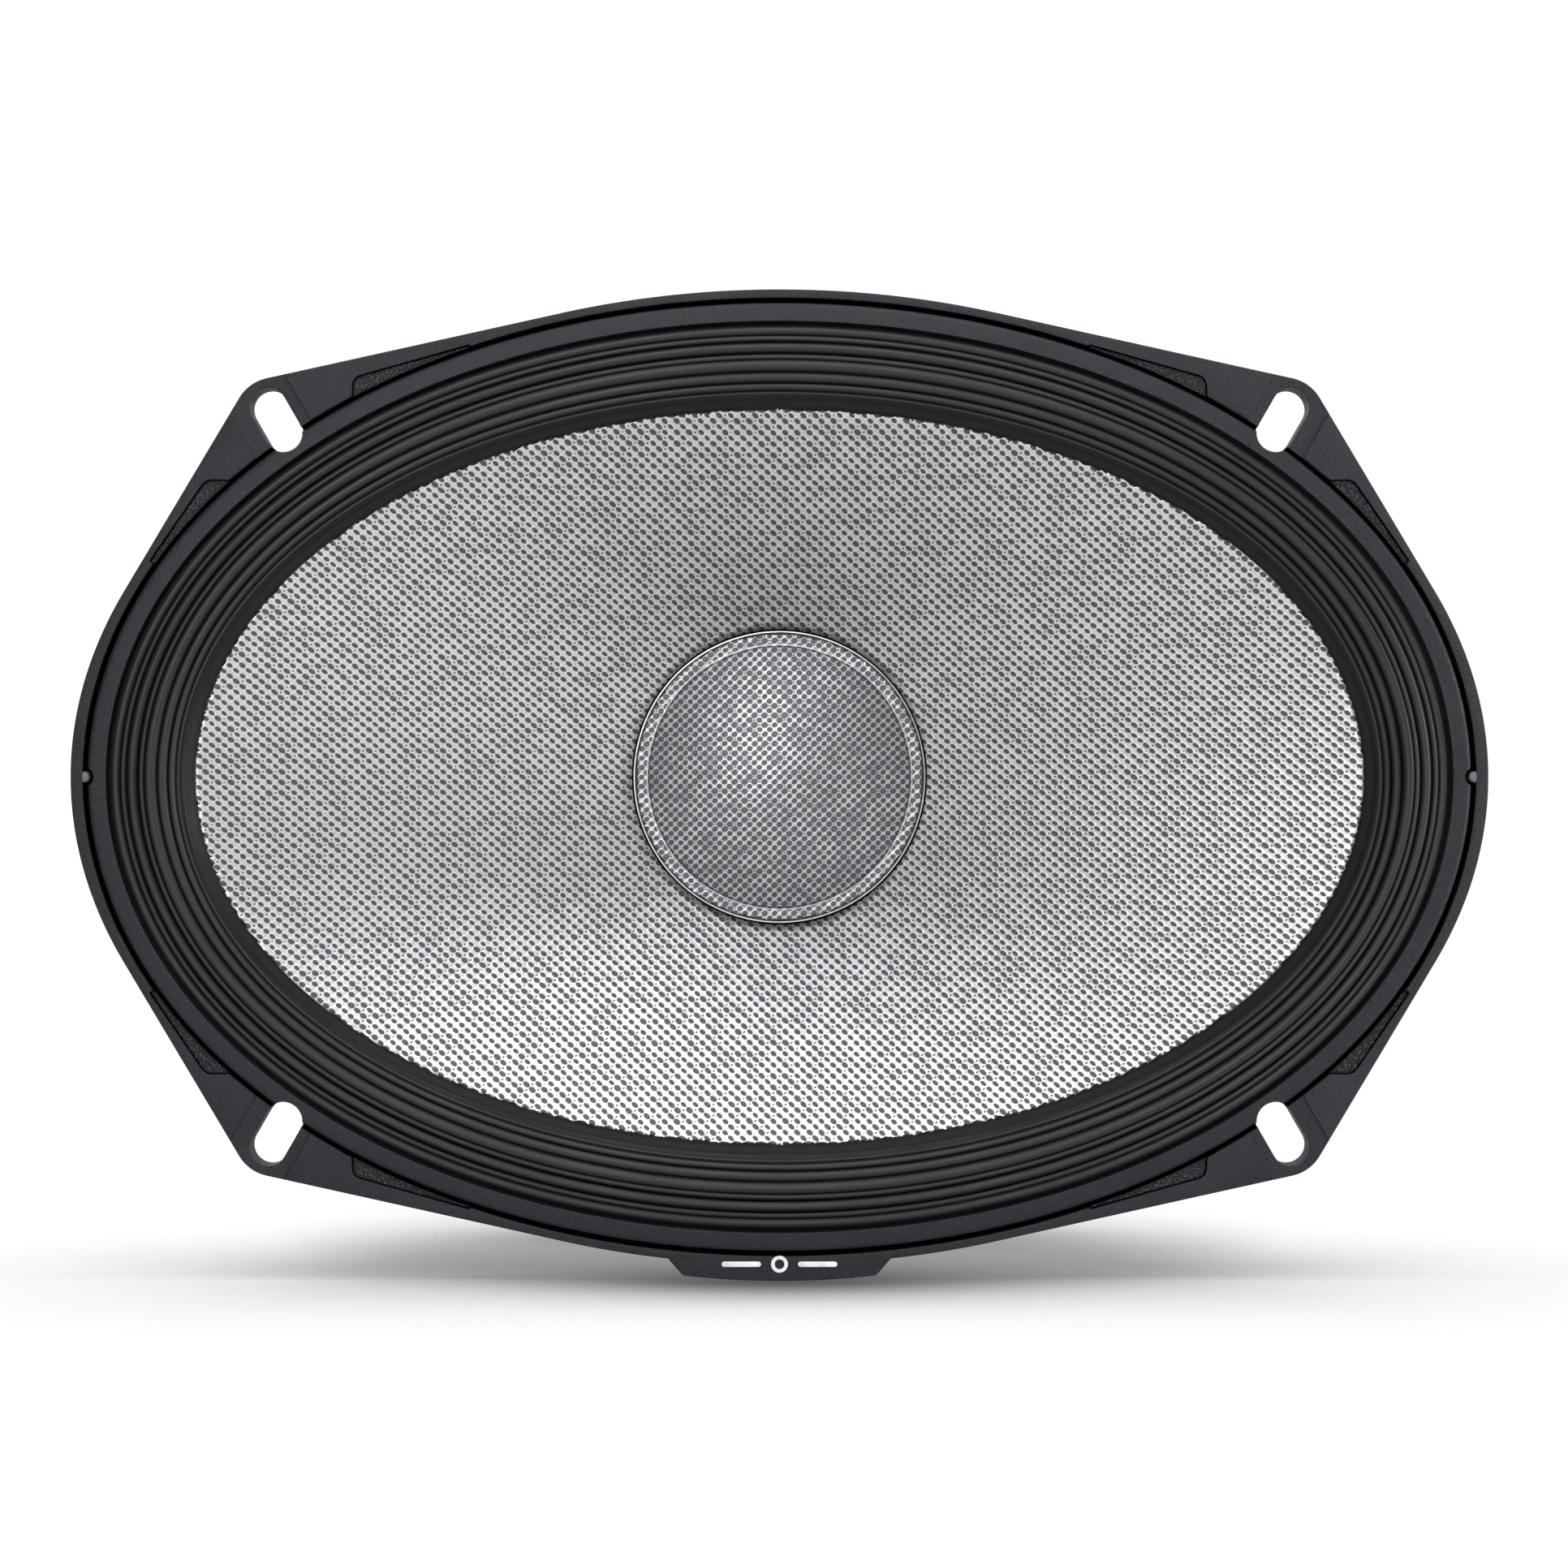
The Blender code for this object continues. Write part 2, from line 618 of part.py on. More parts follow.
def make_dust_cap(material):
    """Shallow dome with a narrow flat rim, glued on the cone's seat."""
    rim_top = CONE_FRONT_Z - CONE_DEPTH + 0.9 * MM
    dome_radius = CAP_RADIUS - CAP_RIM_WIDTH
    ball = (dome_radius ** 2 + CAP_HEIGHT ** 2) / (2.0 * CAP_HEIGHT)
    centre_z = rim_top + CAP_HEIGHT - ball

    steps = 5
    radii = [dome_radius * i / steps for i in range(steps + 1)]
    inner_ball = ball - CAP_WALL
    profile = [(r, centre_z + math.sqrt(ball ** 2 - r ** 2)) for r in radii]
    profile.append((CAP_RADIUS, rim_top))
    profile.append((CAP_RADIUS, rim_top - CAP_WALL))
    profile.append((dome_radius - 0.3 * MM, rim_top - CAP_WALL))
    profile += [(r, centre_z + math.sqrt(inner_ball ** 2 - r ** 2)) for r in radii[-2::-1]]
    return turned("dust_cap", profile, material, MOVING, closed=False)


def make_coil(former_material, wire_material, glue_material):
    """Former tube, its winding, and the bead of adhesive at the cone's neck."""
    outer = COIL_INNER_RADIUS + FORMER_WALL
    turned("coil_former",
           [(outer, FORMER_FRONT_Z), (outer, COIL_BACK_Z),
            (COIL_INNER_RADIUS, COIL_BACK_Z), (COIL_INNER_RADIUS, FORMER_FRONT_Z)],
           former_material, MOVING)
    inside = outer + FIT_GAP
    outside = inside + COIL_WALL
    coil_front_z = COIL_BACK_Z + COIL_HEIGHT
    turned("coil_winding",
           [(outside, coil_front_z), (outside, COIL_BACK_Z),
            (inside, COIL_BACK_Z), (inside, coil_front_z)],
           wire_material, MOVING)
    neck_z = CONE_FRONT_Z - CONE_DEPTH - NECK_LENGTH
    turned("neck_adhesive",
           [(inside + 2.6 * MM, neck_z + 2.6 * MM), (inside + 2.3 * MM, neck_z + 0.5 * MM),
            (inside, neck_z - 2.8 * MM), (inside, neck_z - 0.65 * MM)],
           glue_material, MOVING)


def make_spider(material):
    """Corrugated centring disc between the former and the basket's shelf."""
    foot_z = SHELF_Z + FIT_GAP + SPIDER_WALL
    middle_z = foot_z + 1.2 * MM
    inner = COIL_INNER_RADIUS + FORMER_WALL + FIT_GAP
    wave_start = inner + SPIDER_GLUE
    wave_end = SHELF_INNER_RADIUS + 0.4 * MM
    bends = 2 * SPIDER_WAVES + 1
    top = [(inner, middle_z + 1.0 * MM)]
    for i in range(bends):
        share = i / (bends - 1)
        wave = SPIDER_WAVE * math.cos(math.pi * i)
        radius = wave_start + (wave_end - wave_start) * share
        top.append((radius, middle_z + wave + (foot_z - middle_z) * share))
    top.append((SPIDER_RADIUS, foot_z))
    bottom = [(r, z - SPIDER_WALL) for r, z in reversed(top)]
    return turned("spider", top + bottom, material)


def make_motor(steel, ferrite, copper, rubber):
    """Top plate, magnet, yoke with its pole, copper pole cap and rubber boot."""
    top_z = SEAT_BACK_Z - FIT_GAP
    plate_back = top_z - PLATE_THICKNESS
    top_plate = turned("top_plate",
                       [(TOP_PLATE_RADIUS, top_z), (TOP_PLATE_RADIUS, plate_back),
                        (TOP_PLATE_HOLE, plate_back), (TOP_PLATE_HOLE, top_z)], steel)
    holes = pins_mesh("plate_holes", screw_places(), SCREW_RADIUS + FIT_GAP,
                      top_z - SCREW_LENGTH - 0.2 * MM, top_z + 2.0 * MM)
    combine(top_plate, cutter("plate_holes", holes))

    magnet_top = plate_back - FIT_GAP
    magnet_back = magnet_top - MAGNET_THICKNESS
    turned("magnet",
           [(MAGNET_RADIUS - MOTOR_CHAMFER, magnet_top),
            (MAGNET_RADIUS, magnet_top - MOTOR_CHAMFER),
            (MAGNET_RADIUS, magnet_back + MOTOR_CHAMFER),
            (MAGNET_RADIUS - MOTOR_CHAMFER, magnet_back),
            (MAGNET_HOLE, magnet_back), (MAGNET_HOLE, magnet_top)], ferrite)

    yoke_top = magnet_back - FIT_GAP
    yoke_back = -MOUNTING_DEPTH + BOOT_WALL + FIT_GAP
    turned("yoke",
           [(0.0, top_z), (POLE_RADIUS, top_z), (POLE_RADIUS, yoke_top),
            (TOP_PLATE_RADIUS, yoke_top), (TOP_PLATE_RADIUS, yoke_back + MOTOR_CHAMFER),
            (TOP_PLATE_RADIUS - MOTOR_CHAMFER, yoke_back), (0.0, yoke_back)],
           steel, closed=False)

    cap_inner = POLE_RADIUS + FIT_GAP
    cap_top = top_z + 2.0 * FIT_GAP
    cap_edge = top_z - POLE_CAP_DEPTH
    turned("pole_cap",
           [(0.0, cap_top), (POLE_CAP_RADIUS, cap_top), (POLE_CAP_RADIUS, cap_edge),
            (cap_inner, cap_edge), (cap_inner, top_z + FIT_GAP), (0.0, top_z + FIT_GAP)],
           copper, closed=False)

    make_boot(rubber)


def make_boot(material):
    """Rubber boot over the magnet and the yoke, with a rounded back edge."""
    inner = BOOT_RADIUS - BOOT_WALL - 0.8 * MM
    back_z = -MOUNTING_DEPTH
    floor_z = back_z + BOOT_WALL
    turned("magnet_boot",
           [(0.0, floor_z), (inner - BOOT_FILLET, floor_z),
            (inner, floor_z + BOOT_FILLET), (inner, BOOT_FRONT_Z),
            (BOOT_RADIUS - MOTOR_CHAMFER, BOOT_FRONT_Z),
            (BOOT_RADIUS, BOOT_FRONT_Z - MOTOR_CHAMFER),
            (BOOT_RADIUS, back_z + 2.0 * BOOT_FILLET),
            (BOOT_RADIUS - 0.6 * BOOT_FILLET, back_z + 0.6 * BOOT_FILLET),
            (BOOT_RADIUS - 2.0 * BOOT_FILLET, back_z), (0.0, back_z)],
           material, closed=False)


def screw_places():
    """Four screws on the motor seat, between the spokes."""
    places = []
    for degrees in (45.0, 135.0, 225.0, 315.0):
        angle = math.radians(degrees)
        places.append((SCREW_CIRCLE * math.cos(angle), SCREW_CIRCLE * math.sin(angle)))
    return places


def make_motor_screws(material):
    """Pan-head screws from the basket's seat into the top plate."""
    head_back = SEAT_FRONT_Z + FIT_GAP
    head_top = head_back + SCREW_HEAD_HEIGHT
    tip = SEAT_BACK_Z - SCREW_LENGTH
    profile = [
        (0.0, head_top), (SCREW_HEAD_RADIUS * 0.7, head_top),
        (SCREW_HEAD_RADIUS, head_back + 1.0 * MM), (SCREW_HEAD_RADIUS, head_back),
        (SCREW_RADIUS, head_back), (SCREW_RADIUS, tip), (0.0, tip),
    ]
    for number, (x, y) in enumerate(screw_places(), start=1):
        screw = turned(f"motor_screw_{number}", profile, material,
                       steps=SMALL_STEPS, closed=False)
        screw.location = (x, y, 0.0)
        slot = box_mesh(f"screw_slot_{number}", x - 0.5 * MM, x + 0.5 * MM,
                        y - 4.0 * MM, y + 4.0 * MM, head_top - 0.9 * MM, head_top + 1.0 * MM)
        combine(screw, cutter(f"screw_slot_{number}", slot))


def make_rear_gasket(material):
    """Foam strip around the skirt, against the flange's back."""
    rings = [
        rim_ring(GASKET_INNER, -FIT_GAP),
        rim_ring(GASKET_INNER, GASKET_BACK_Z),
        rim_ring(GASKET_OUTER, GASKET_BACK_Z),
        rim_ring(GASKET_OUTER, -FIT_GAP),
    ]
    return part("rear_gasket", skin("rear_gasket", rings), material)


def rivet_places():
    """One rivet for each terminal."""
    return [(TERMINAL_X, RIVET_Y), (-TERMINAL_X, RIVET_Y)]


def make_terminal(name, x, width, material):
    """A riveted root with shoulders, and a thinner push-on blade pointing away."""
    board_top = SHELF_Z + FIT_GAP + BOARD_THICKNESS
    back_z = board_top + FIT_GAP
    root_half = width / 2.0 + BLADE_SHOULDER
    root = [
        (x - root_half, BLADE_INNER_Y), (x - root_half, BLADE_ROOT_Y),
        (x + root_half, BLADE_ROOT_Y), (x + root_half, BLADE_INNER_Y),
    ]
    hole = arc((x, RIVET_Y), RIVET_RADIUS + FIT_GAP, 0.0, 2.0 * math.pi, SMALL_STEPS)[:-1]
    mesh = outline_mesh(name, [root, hole], back_z, back_z + BLADE_ROOT_THICKNESS, False)
    terminal = part(name, mesh, material)
    half = width / 2.0
    nose = BLADE_NOSE
    blade = [
        (x - half, BLADE_ROOT_Y + 0.5 * MM), (x - half, BLADE_TIP_Y + nose),
        (x - half + nose, BLADE_TIP_Y), (x + half - nose, BLADE_TIP_Y),
        (x + half, BLADE_TIP_Y + nose), (x + half, BLADE_ROOT_Y + 0.5 * MM),
    ]
    blade_z = back_z + (BLADE_ROOT_THICKNESS - BLADE_THICKNESS) / 2.0
    guide_name = f"{name}_blade"
    blade_mesh = outline_mesh(guide_name, [blade], blade_z, blade_z + BLADE_THICKNESS)
    combine(terminal, cutter(guide_name, blade_mesh), "UNION")
    return terminal


def make_terminals(plastic, tin, steel):
    """Terminal board on the ear, two blades and their rivets."""
    board_back = SHELF_Z + FIT_GAP
    board_top = board_back + BOARD_THICKNESS
    board = part("terminal_board",
                 box_mesh("terminal_board", -EAR_HALF_WIDTH + 1.0 * MM,
                          EAR_HALF_WIDTH - 1.0 * MM, BOARD_OUTER_Y, BOARD_INNER_Y,
                          board_back, board_top), plastic)
    bevel = board.modifiers.new("edges", "BEVEL")
    bevel.width = 0.5 * MM
    bevel.segments = 1
    holes = pins_mesh("board_holes", rivet_places(), RIVET_RADIUS + FIT_GAP,
                      board_back - 2.0 * MM, board_top + 2.0 * MM)
    combine(board, cutter("board_holes", holes))
    make_terminal("terminal_positive", TERMINAL_X, POSITIVE_WIDTH, tin)
    make_terminal("terminal_negative", -TERMINAL_X, NEGATIVE_WIDTH, tin)

    head_z = board_top + 2.0 * FIT_GAP + BLADE_ROOT_THICKNESS
    tail_z = SHELF_BACK_Z - FIT_GAP
    profile = [
        (0.0, head_z + 0.9 * MM), (1.4 * MM, head_z + 0.8 * MM), (2.2 * MM, head_z),
        (RIVET_RADIUS, head_z), (RIVET_RADIUS, tail_z), (2.4 * MM, tail_z),
        (1.6 * MM, tail_z - 0.8 * MM), (0.0, tail_z - 0.9 * MM),
    ]
    for number, (x, y) in enumerate(rivet_places(), start=1):
        rivet = turned(f"terminal_rivet_{number}", profile, steel,
                       steps=SMALL_STEPS, closed=False)
        rivet.location = (x, y, 0.0)


def lead_joint_centre(side):
    """Where a lead is glued to the cone's back, just outside the neck."""
    return Vector((side * 7.0 * MM, -31.0 * MM, -28.6 * MM))


def make_lead_joint(name, side, material):
    """A small blob of adhesive over the end of a lead."""
    bm = bmesh.new()
    bmesh.ops.create_uvsphere(bm, u_segments=12, v_segments=8, radius=JOINT_RADIUS)
    mesh = bpy.data.meshes.new(name)
    bm.to_mesh(mesh)
    bm.free()
    joint = part(name, mesh, material, MOVING, smooth_angle=180.0)
    joint.location = lead_joint_centre(side)
    return joint


def make_lead(name, side, material):
    """Braided lead hanging in a slack bow from its terminal to the cone."""
    blade_z = SHELF_Z + 2.0 * FIT_GAP + BOARD_THICKNESS + BLADE_ROOT_THICKNESS / 2.0
    start = Vector((side * TERMINAL_X, BLADE_INNER_Y + FIT_GAP, blade_z))
    blob = lead_joint_centre(side)
    end = blob + Vector((0.0, -0.5, -0.87)).normalized() * (JOINT_RADIUS + 1.5 * FIT_GAP)
    steps = 12
    sag = Vector((side * 1.2 * MM, 0.0, -2.2 * MM))
    curve = bpy.data.curves.new(name, "CURVE")
    curve.dimensions = "3D"
    curve.bevel_depth = LEAD_RADIUS
    curve.bevel_resolution = 2
    curve.use_fill_caps = True
    spline = curve.splines.new("POLY")
    spline.points.add(steps)
    for i, control in enumerate(spline.points):
        share = i / steps
        point = start.lerp(end, share) + sag * 4.0 * share * (1.0 - share)
        control.co = (*point, 1.0)
    lead = bpy.data.objects.new(name, curve)
    lead.parent = AXIS
    curve.materials.append(material)
    PARTS.objects.link(lead)
    return lead


def build_speaker():
    """Make every piece of the speaker."""
    black_plastic = paint("basket_black", (0.022, 0.026, 0.030), 0.62)
    ring_plastic = paint("ring_black", (0.020, 0.024, 0.028), 0.55)
    rubber = paint("surround_rubber", (0.016, 0.019, 0.022), 0.48)
    weave = paint("woven_silver", (0.62, 0.63, 0.65), 0.45, 0.1)
    cap_weave = paint("cap_weave", (0.66, 0.67, 0.69), 0.42, 0.1)
    kapton = paint("former_amber", (0.45, 0.20, 0.05), 0.4)
    wire = paint("coil_copper", (0.60, 0.24, 0.09), 0.35, 1.0)
    glue = paint("black_adhesive", (0.015, 0.015, 0.016), 0.35)
    cloth = paint("spider_cloth", (0.62, 0.42, 0.16), 0.9)
    braid = paint("lead_braid", (0.75, 0.62, 0.45), 0.4, 0.9)
    steel = paint("zinc_steel", (0.52, 0.52, 0.50), 0.35, 1.0)
    ferrite = paint("ferrite_grey", (0.05, 0.05, 0.055), 0.6)
    copper = paint("pole_copper", (0.75, 0.36, 0.20), 0.3, 1.0)
    boot = paint("boot_rubber", (0.014, 0.014, 0.015), 0.55)
    board = paint("board_plastic", (0.018, 0.018, 0.020), 0.5)
    tin = paint("terminal_tin", (0.72, 0.72, 0.70), 0.28, 1.0)
    screw_steel = paint("screw_black_zinc", (0.12, 0.12, 0.13), 0.35, 1.0)
    foam = paint("gasket_foam", (0.03, 0.03, 0.032), 0.95)

    make_basket(black_plastic)
    make_clamp_ring(ring_plastic)
    make_surround(rubber)
    make_cone(weave)
    make_dust_cap(cap_weave)
    make_coil(kapton, wire, glue)
    make_spider(cloth)
    make_motor(steel, ferrite, copper, boot)
    make_motor_screws(screw_steel)
    make_rear_gasket(foam)
    make_terminals(board, tin, steel)
    make_lead_joint("lead_joint_positive", 1, glue)
    make_lead_joint("lead_joint_negative", -1, glue)
    make_lead("tinsel_lead_positive", 1, braid)
    make_lead("tinsel_lead_negative", -1, braid)


build_speaker()
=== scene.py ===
"""Looks of an elliptical 6 x 9 inch speaker with a woven cone.

Shapes are written in the speaker's own axes, as in the CAD: x to the right, y up
on the flange and z out of the cone towards the listener, with z = 0 on the plane
that the flange's back rests on. make_mesh turns them into the frame's axes.
"""
import math

import bmesh
import bpy
import numpy as np
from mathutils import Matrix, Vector
from mathutils.geometry import convex_hull_2d


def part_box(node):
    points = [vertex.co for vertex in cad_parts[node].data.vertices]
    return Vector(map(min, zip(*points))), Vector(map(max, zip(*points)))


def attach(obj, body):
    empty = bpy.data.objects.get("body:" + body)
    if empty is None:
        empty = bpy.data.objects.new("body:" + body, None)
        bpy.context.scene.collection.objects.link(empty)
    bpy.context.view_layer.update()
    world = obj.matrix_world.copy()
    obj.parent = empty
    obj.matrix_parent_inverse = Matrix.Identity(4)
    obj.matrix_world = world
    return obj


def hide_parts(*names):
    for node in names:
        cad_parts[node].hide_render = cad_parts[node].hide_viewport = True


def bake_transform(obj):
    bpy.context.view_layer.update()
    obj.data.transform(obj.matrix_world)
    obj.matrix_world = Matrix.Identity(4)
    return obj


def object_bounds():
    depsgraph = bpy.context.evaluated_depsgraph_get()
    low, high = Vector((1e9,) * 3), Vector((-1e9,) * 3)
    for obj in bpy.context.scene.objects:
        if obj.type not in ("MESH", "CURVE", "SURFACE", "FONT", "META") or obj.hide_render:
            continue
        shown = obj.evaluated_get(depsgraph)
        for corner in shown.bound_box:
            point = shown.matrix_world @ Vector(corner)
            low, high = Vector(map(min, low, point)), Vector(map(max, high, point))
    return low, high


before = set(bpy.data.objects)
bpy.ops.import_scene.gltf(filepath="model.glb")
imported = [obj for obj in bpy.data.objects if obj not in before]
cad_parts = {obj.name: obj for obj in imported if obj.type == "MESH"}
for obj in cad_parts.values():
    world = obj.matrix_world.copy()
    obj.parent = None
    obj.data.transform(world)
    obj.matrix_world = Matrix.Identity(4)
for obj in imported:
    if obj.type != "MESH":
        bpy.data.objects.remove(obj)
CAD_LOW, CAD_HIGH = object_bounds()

MM = 0.001
SCENE = bpy.context.scene

# Sizes that the CAD already holds
FLANGE_THICKNESS = 6.0 * MM
PLANE_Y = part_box("basket")[0].y + FLANGE_THICKNESS
FLANGE_HALF_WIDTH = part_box("basket")[1].x
FLANGE_HALF_HEIGHT = 81.85 * MM
TAB_BOTTOM_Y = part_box("basket")[0].z
MOTOR_BACK_Z = PLANE_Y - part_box("magnet_boot")[1].y
RIM_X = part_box("cone")[1].x
RIM_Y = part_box("cone")[1].z
RIM_Z = PLANE_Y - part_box("cone")[0].y
CAP_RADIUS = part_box("dust_cap")[1].x
RING_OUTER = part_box("clamp_ring")[1].z - RIM_Y
RING_TOP_Z = PLANE_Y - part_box("clamp_ring")[0].y
BOOT_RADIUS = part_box("magnet_boot")[1].x
BOOT_FRONT_Z = PLANE_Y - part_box("magnet_boot")[0].y

# Distances outwards from the cone rim, and heights
SURROUND_OUTER = 14.25 * MM
SURROUND_FOOT = 15.3 * MM
RECESS_OUTER = 18.15 * MM
RECESS_FLOOR_Z = 3.6 * MM
FOOT_TOP_Z = 4.9 * MM
SKIRT_OUTER = 12.0 * MM
SKIRT_INNER = 10.2 * MM
SKIRT_TOP_Z = 3.2 * MM
GASKET_INNER = 12.4 * MM
GASKET_OUTER = 14.0 * MM

# Lugs, slots and tab
LUG_X = 84.6 * MM
LUG_Y = 60.0 * MM
LUG_RADIUS = 7.1 * MM
SLOT_LENGTH = 11.4 * MM
SLOT_WIDTH = 6.3 * MM
SLOT_LEAN = math.radians(30.0)
TAB_HALF_WIDTH = 18.7 * MM
TAB_FOOT_HALF_WIDTH = 16.2 * MM
TAB_CORNER_Y = -83.7 * MM
POCKET_FLOOR_Z = 5.25 * MM
STRIP_FLOOR_Z = 5.74 * MM
PEG_X = 116.7 * MM
NOTCH_RADIUS = 1.66 * MM

# Cone and cap
CONE_DEPTH = 29.6 * MM
CONE_WALL = 1.2 * MM
SEAT_RADIUS = 27.0 * MM
SEAT_Z = RIM_Z - CONE_DEPTH
CAP_RIM_WIDTH = 2.4 * MM
CAP_HEIGHT = 6.5 * MM
CAP_WALL = 0.8 * MM
NECK_RADIUS = 19.75 * MM
CONE_CELL = (2.043 * MM, 1.798 * MM)
CAP_CELL = (1.74 * MM, 1.66 * MM)

# Basket behind the flange
BOWL_TOP_Z = -10.0 * MM
SHELF_RADIUS = 50.0 * MM
SHELF_Z = -41.0 * MM
SHELF_INNER = 43.0 * MM
SHELF_BACK_Z = -43.5 * MM
SEAT_HOLE = 30.0 * MM
SEAT_FRONT_Z = -47.9 * MM
SEAT_BACK_Z = -49.9 * MM
SPOKE_ANGLES = (0.0, 40.0, 90.0, 140.0, 180.0, 220.0, 320.0)
SPOKE_HALF_WIDTH = 5.5 * MM
EAR_HALF_WIDTH = 18.0 * MM
EAR_TIP_Y = -65.5 * MM
TERMINAL_X = 9.0 * MM
RIVET_Y = -60.5 * MM

# Painted shadow on the floor before the tab: its size across and towards the camera, and its strength
TAB_SHADE_SIZE = (38.0 * MM, 22.0 * MM)
TAB_SHADE_SHARE = 0.68

RIM_STEPS = 360
TURN_STEPS = 160


# ---------------------------------------------------------------- shapes
def make_mesh(name, points, faces):
    """A mesh in the frame's axes from points in the speaker's axes."""
    points = np.asarray(points, float).reshape(-1, 3)
    world = np.column_stack((points[:, 0], PLANE_Y - points[:, 2], points[:, 1]))
    return world_mesh(name, world.tolist(), faces)


def world_mesh(name, points, faces):
    """A mesh from points in the frame's axes, without doubled points."""
    mesh = bpy.data.meshes.new(name)
    mesh.from_pydata(points, [], [tuple(face) for face in faces])
    bm = bmesh.new()
    bm.from_mesh(mesh)
    bmesh.ops.remove_doubles(bm, verts=bm.verts, dist=1e-7)
    bmesh.ops.recalc_face_normals(bm, faces=bm.faces)
    bm.to_mesh(mesh)
    bm.free()
    return mesh


def piece(name, mesh, finishes, body, stands_for=(), smooth=35.0):
    """A shown piece that rides on a body and may stand for CAD nodes."""
    obj = bpy.data.objects.new(name, mesh)
    SCENE.collection.objects.link(obj)
    for finish in finishes if isinstance(finishes, (list, tuple)) else [finishes]:
        mesh.materials.append(finish)
    mesh.shade_smooth()
    mesh.set_sharp_from_angle(angle=math.radians(smooth))
    if body:
        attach(obj, body)
    if stands_for:
        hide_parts(*stands_for)
    return obj


def blended(obj):
    """Bakes the piece's place into its mesh."""
    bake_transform(obj)


def ease(value, low, high):
    """Smooth step from 0 at low to 1 at high."""
    share = np.clip((np.asarray(value, float) - low) / (high - low), 0.0, 1.0)
    return share * share * (3.0 - 2.0 * share)


def turn(steps):
    """Evenly spaced angles around one turn."""
    return np.linspace(0.0, 2.0 * math.pi, steps, endpoint=False)


def rim_ring(distance, z, steps=RIM_STEPS):
    """A ring parallel to the cone rim, a distance outside it."""
    angle = turn(steps)
    across = RIM_Y * np.cos(angle)
    up = RIM_X * np.sin(angle)
    length = np.hypot(across, up)
    x = RIM_X * np.cos(angle) + distance * across / length
    y = RIM_Y * np.sin(angle) + distance * up / length
    return np.column_stack((x, y, np.full(steps, z)))


def round_ring(radius, z, steps=RIM_STEPS):
    """A circle around the speaker's axis."""
    angle = turn(steps)
    return np.column_stack((radius * np.cos(angle), radius * np.sin(angle),
                            np.full(steps, z)))


def cone_depth(share):
    """Depth of the cone's front below its rim, a share of the way to the cap seat."""
    return CONE_DEPTH * share * (0.88 + 0.12 * share)


def cone_ring(share, drop, steps=RIM_STEPS):
    """A ring on the cone, a share of the way from rim to cap seat."""
    ring = (1.0 - share) * rim_ring(0.0, RIM_Z, steps)
    ring += share * round_ring(SEAT_RADIUS, RIM_Z, steps)
    ring[:, 2] -= cone_depth(share) + drop
    return ring


def grid_faces(rows, columns, wrap_rows, wrap_columns, start=0):
    """Quads between neighbouring points of a grid."""
    index = start + np.arange(rows * columns).reshape(rows, columns)
    if wrap_rows:
        index = np.vstack((index, index[:1]))
    if wrap_columns:
        index = np.hstack((index, index[:, :1]))
    quads = np.stack((index[:-1, :-1], index[:-1, 1:], index[1:, 1:], index[1:, :-1]), -1)
    return quads.reshape(-1, 4).tolist()


def skin(name, rings, closed=True):
    """A band skinned through rings; closed joins the last ring to the first."""
    points = np.stack(rings)
    faces = grid_faces(points.shape[0], points.shape[1], closed, True)
    return make_mesh(name, points, faces)


def rounded(points, radius, steps=4, closed=True):
    """A polygon with rounded corners; radius is one number or one for each corner."""
    corners = [Vector(point) for point in points]
    count = len(corners)
    radii = radius if isinstance(radius, (list, tuple)) else [radius] * count
    out = []
    for i, corner in enumerate(corners):
        if radii[i] <= 0.0 or (not closed and i in (0, count - 1)):
            out.append(tuple(corner))
            continue
        before = corners[i - 1] - corner
        after = corners[(i + 1) % count] - corner
        reach = min(radii[i], 0.48 * before.length, 0.48 * after.length)
        start = corner + before.normalized() * reach
        end = corner + after.normalized() * reach
        for k in range(steps + 1):
            t = k / steps
            out.append(tuple(start.lerp(corner, t).lerp(corner.lerp(end, t), t)))
    return out


def round_rings(rings, radius, steps=3):
    """Rings with the corners between them rounded, as a closed section."""
    count = len(rings)
    radii = radius if isinstance(radius, (list, tuple)) else [radius] * count
    out = []
    for i, ring in enumerate(rings):
        if radii[i] <= 0.0:
            out.append(ring)
            continue
        before = rings[i - 1] - ring
        after = rings[(i + 1) % count] - ring
        near = np.linalg.norm(before, axis=1, keepdims=True)
        far = np.linalg.norm(after, axis=1, keepdims=True)
        start = ring + before / near * np.minimum(radii[i], 0.48 * near)
        end = ring + after / far * np.minimum(radii[i], 0.48 * far)
        for k in range(steps + 1):
            t = k / steps
            out.append((1 - t) ** 2 * start + 2 * t * (1 - t) * ring + t * t * end)
    return out


def turned(name, profile, steps=TURN_STEPS, closed=True, place=(0.0, 0.0)):
    """A profile of (radius, z) turned around the z axis at a place."""
    rings = [round_ring(radius, z, steps) + (place[0], place[1], 0.0)
             for radius, z in profile]
    return skin(name, rings, closed)


def inset(outline, distance):
    """A counterclockwise outline moved inwards by a distance, outwards if negative."""
    outline = np.asarray(outline, float)
    ahead = np.roll(outline, -1, 0) - outline
    ahead /= np.linalg.norm(ahead, axis=1, keepdims=True)
    behind = np.roll(ahead, 1, 0)
    left = np.column_stack((-ahead[:, 1], ahead[:, 0]))
    left_behind = np.column_stack((-behind[:, 1], behind[:, 0]))
    normal = left + left_behind
    normal /= np.linalg.norm(normal, axis=1, keepdims=True)
    mitre = np.clip((normal * left).sum(1, keepdims=True), 0.5, 1.0)
    return outline + normal * distance / mitre


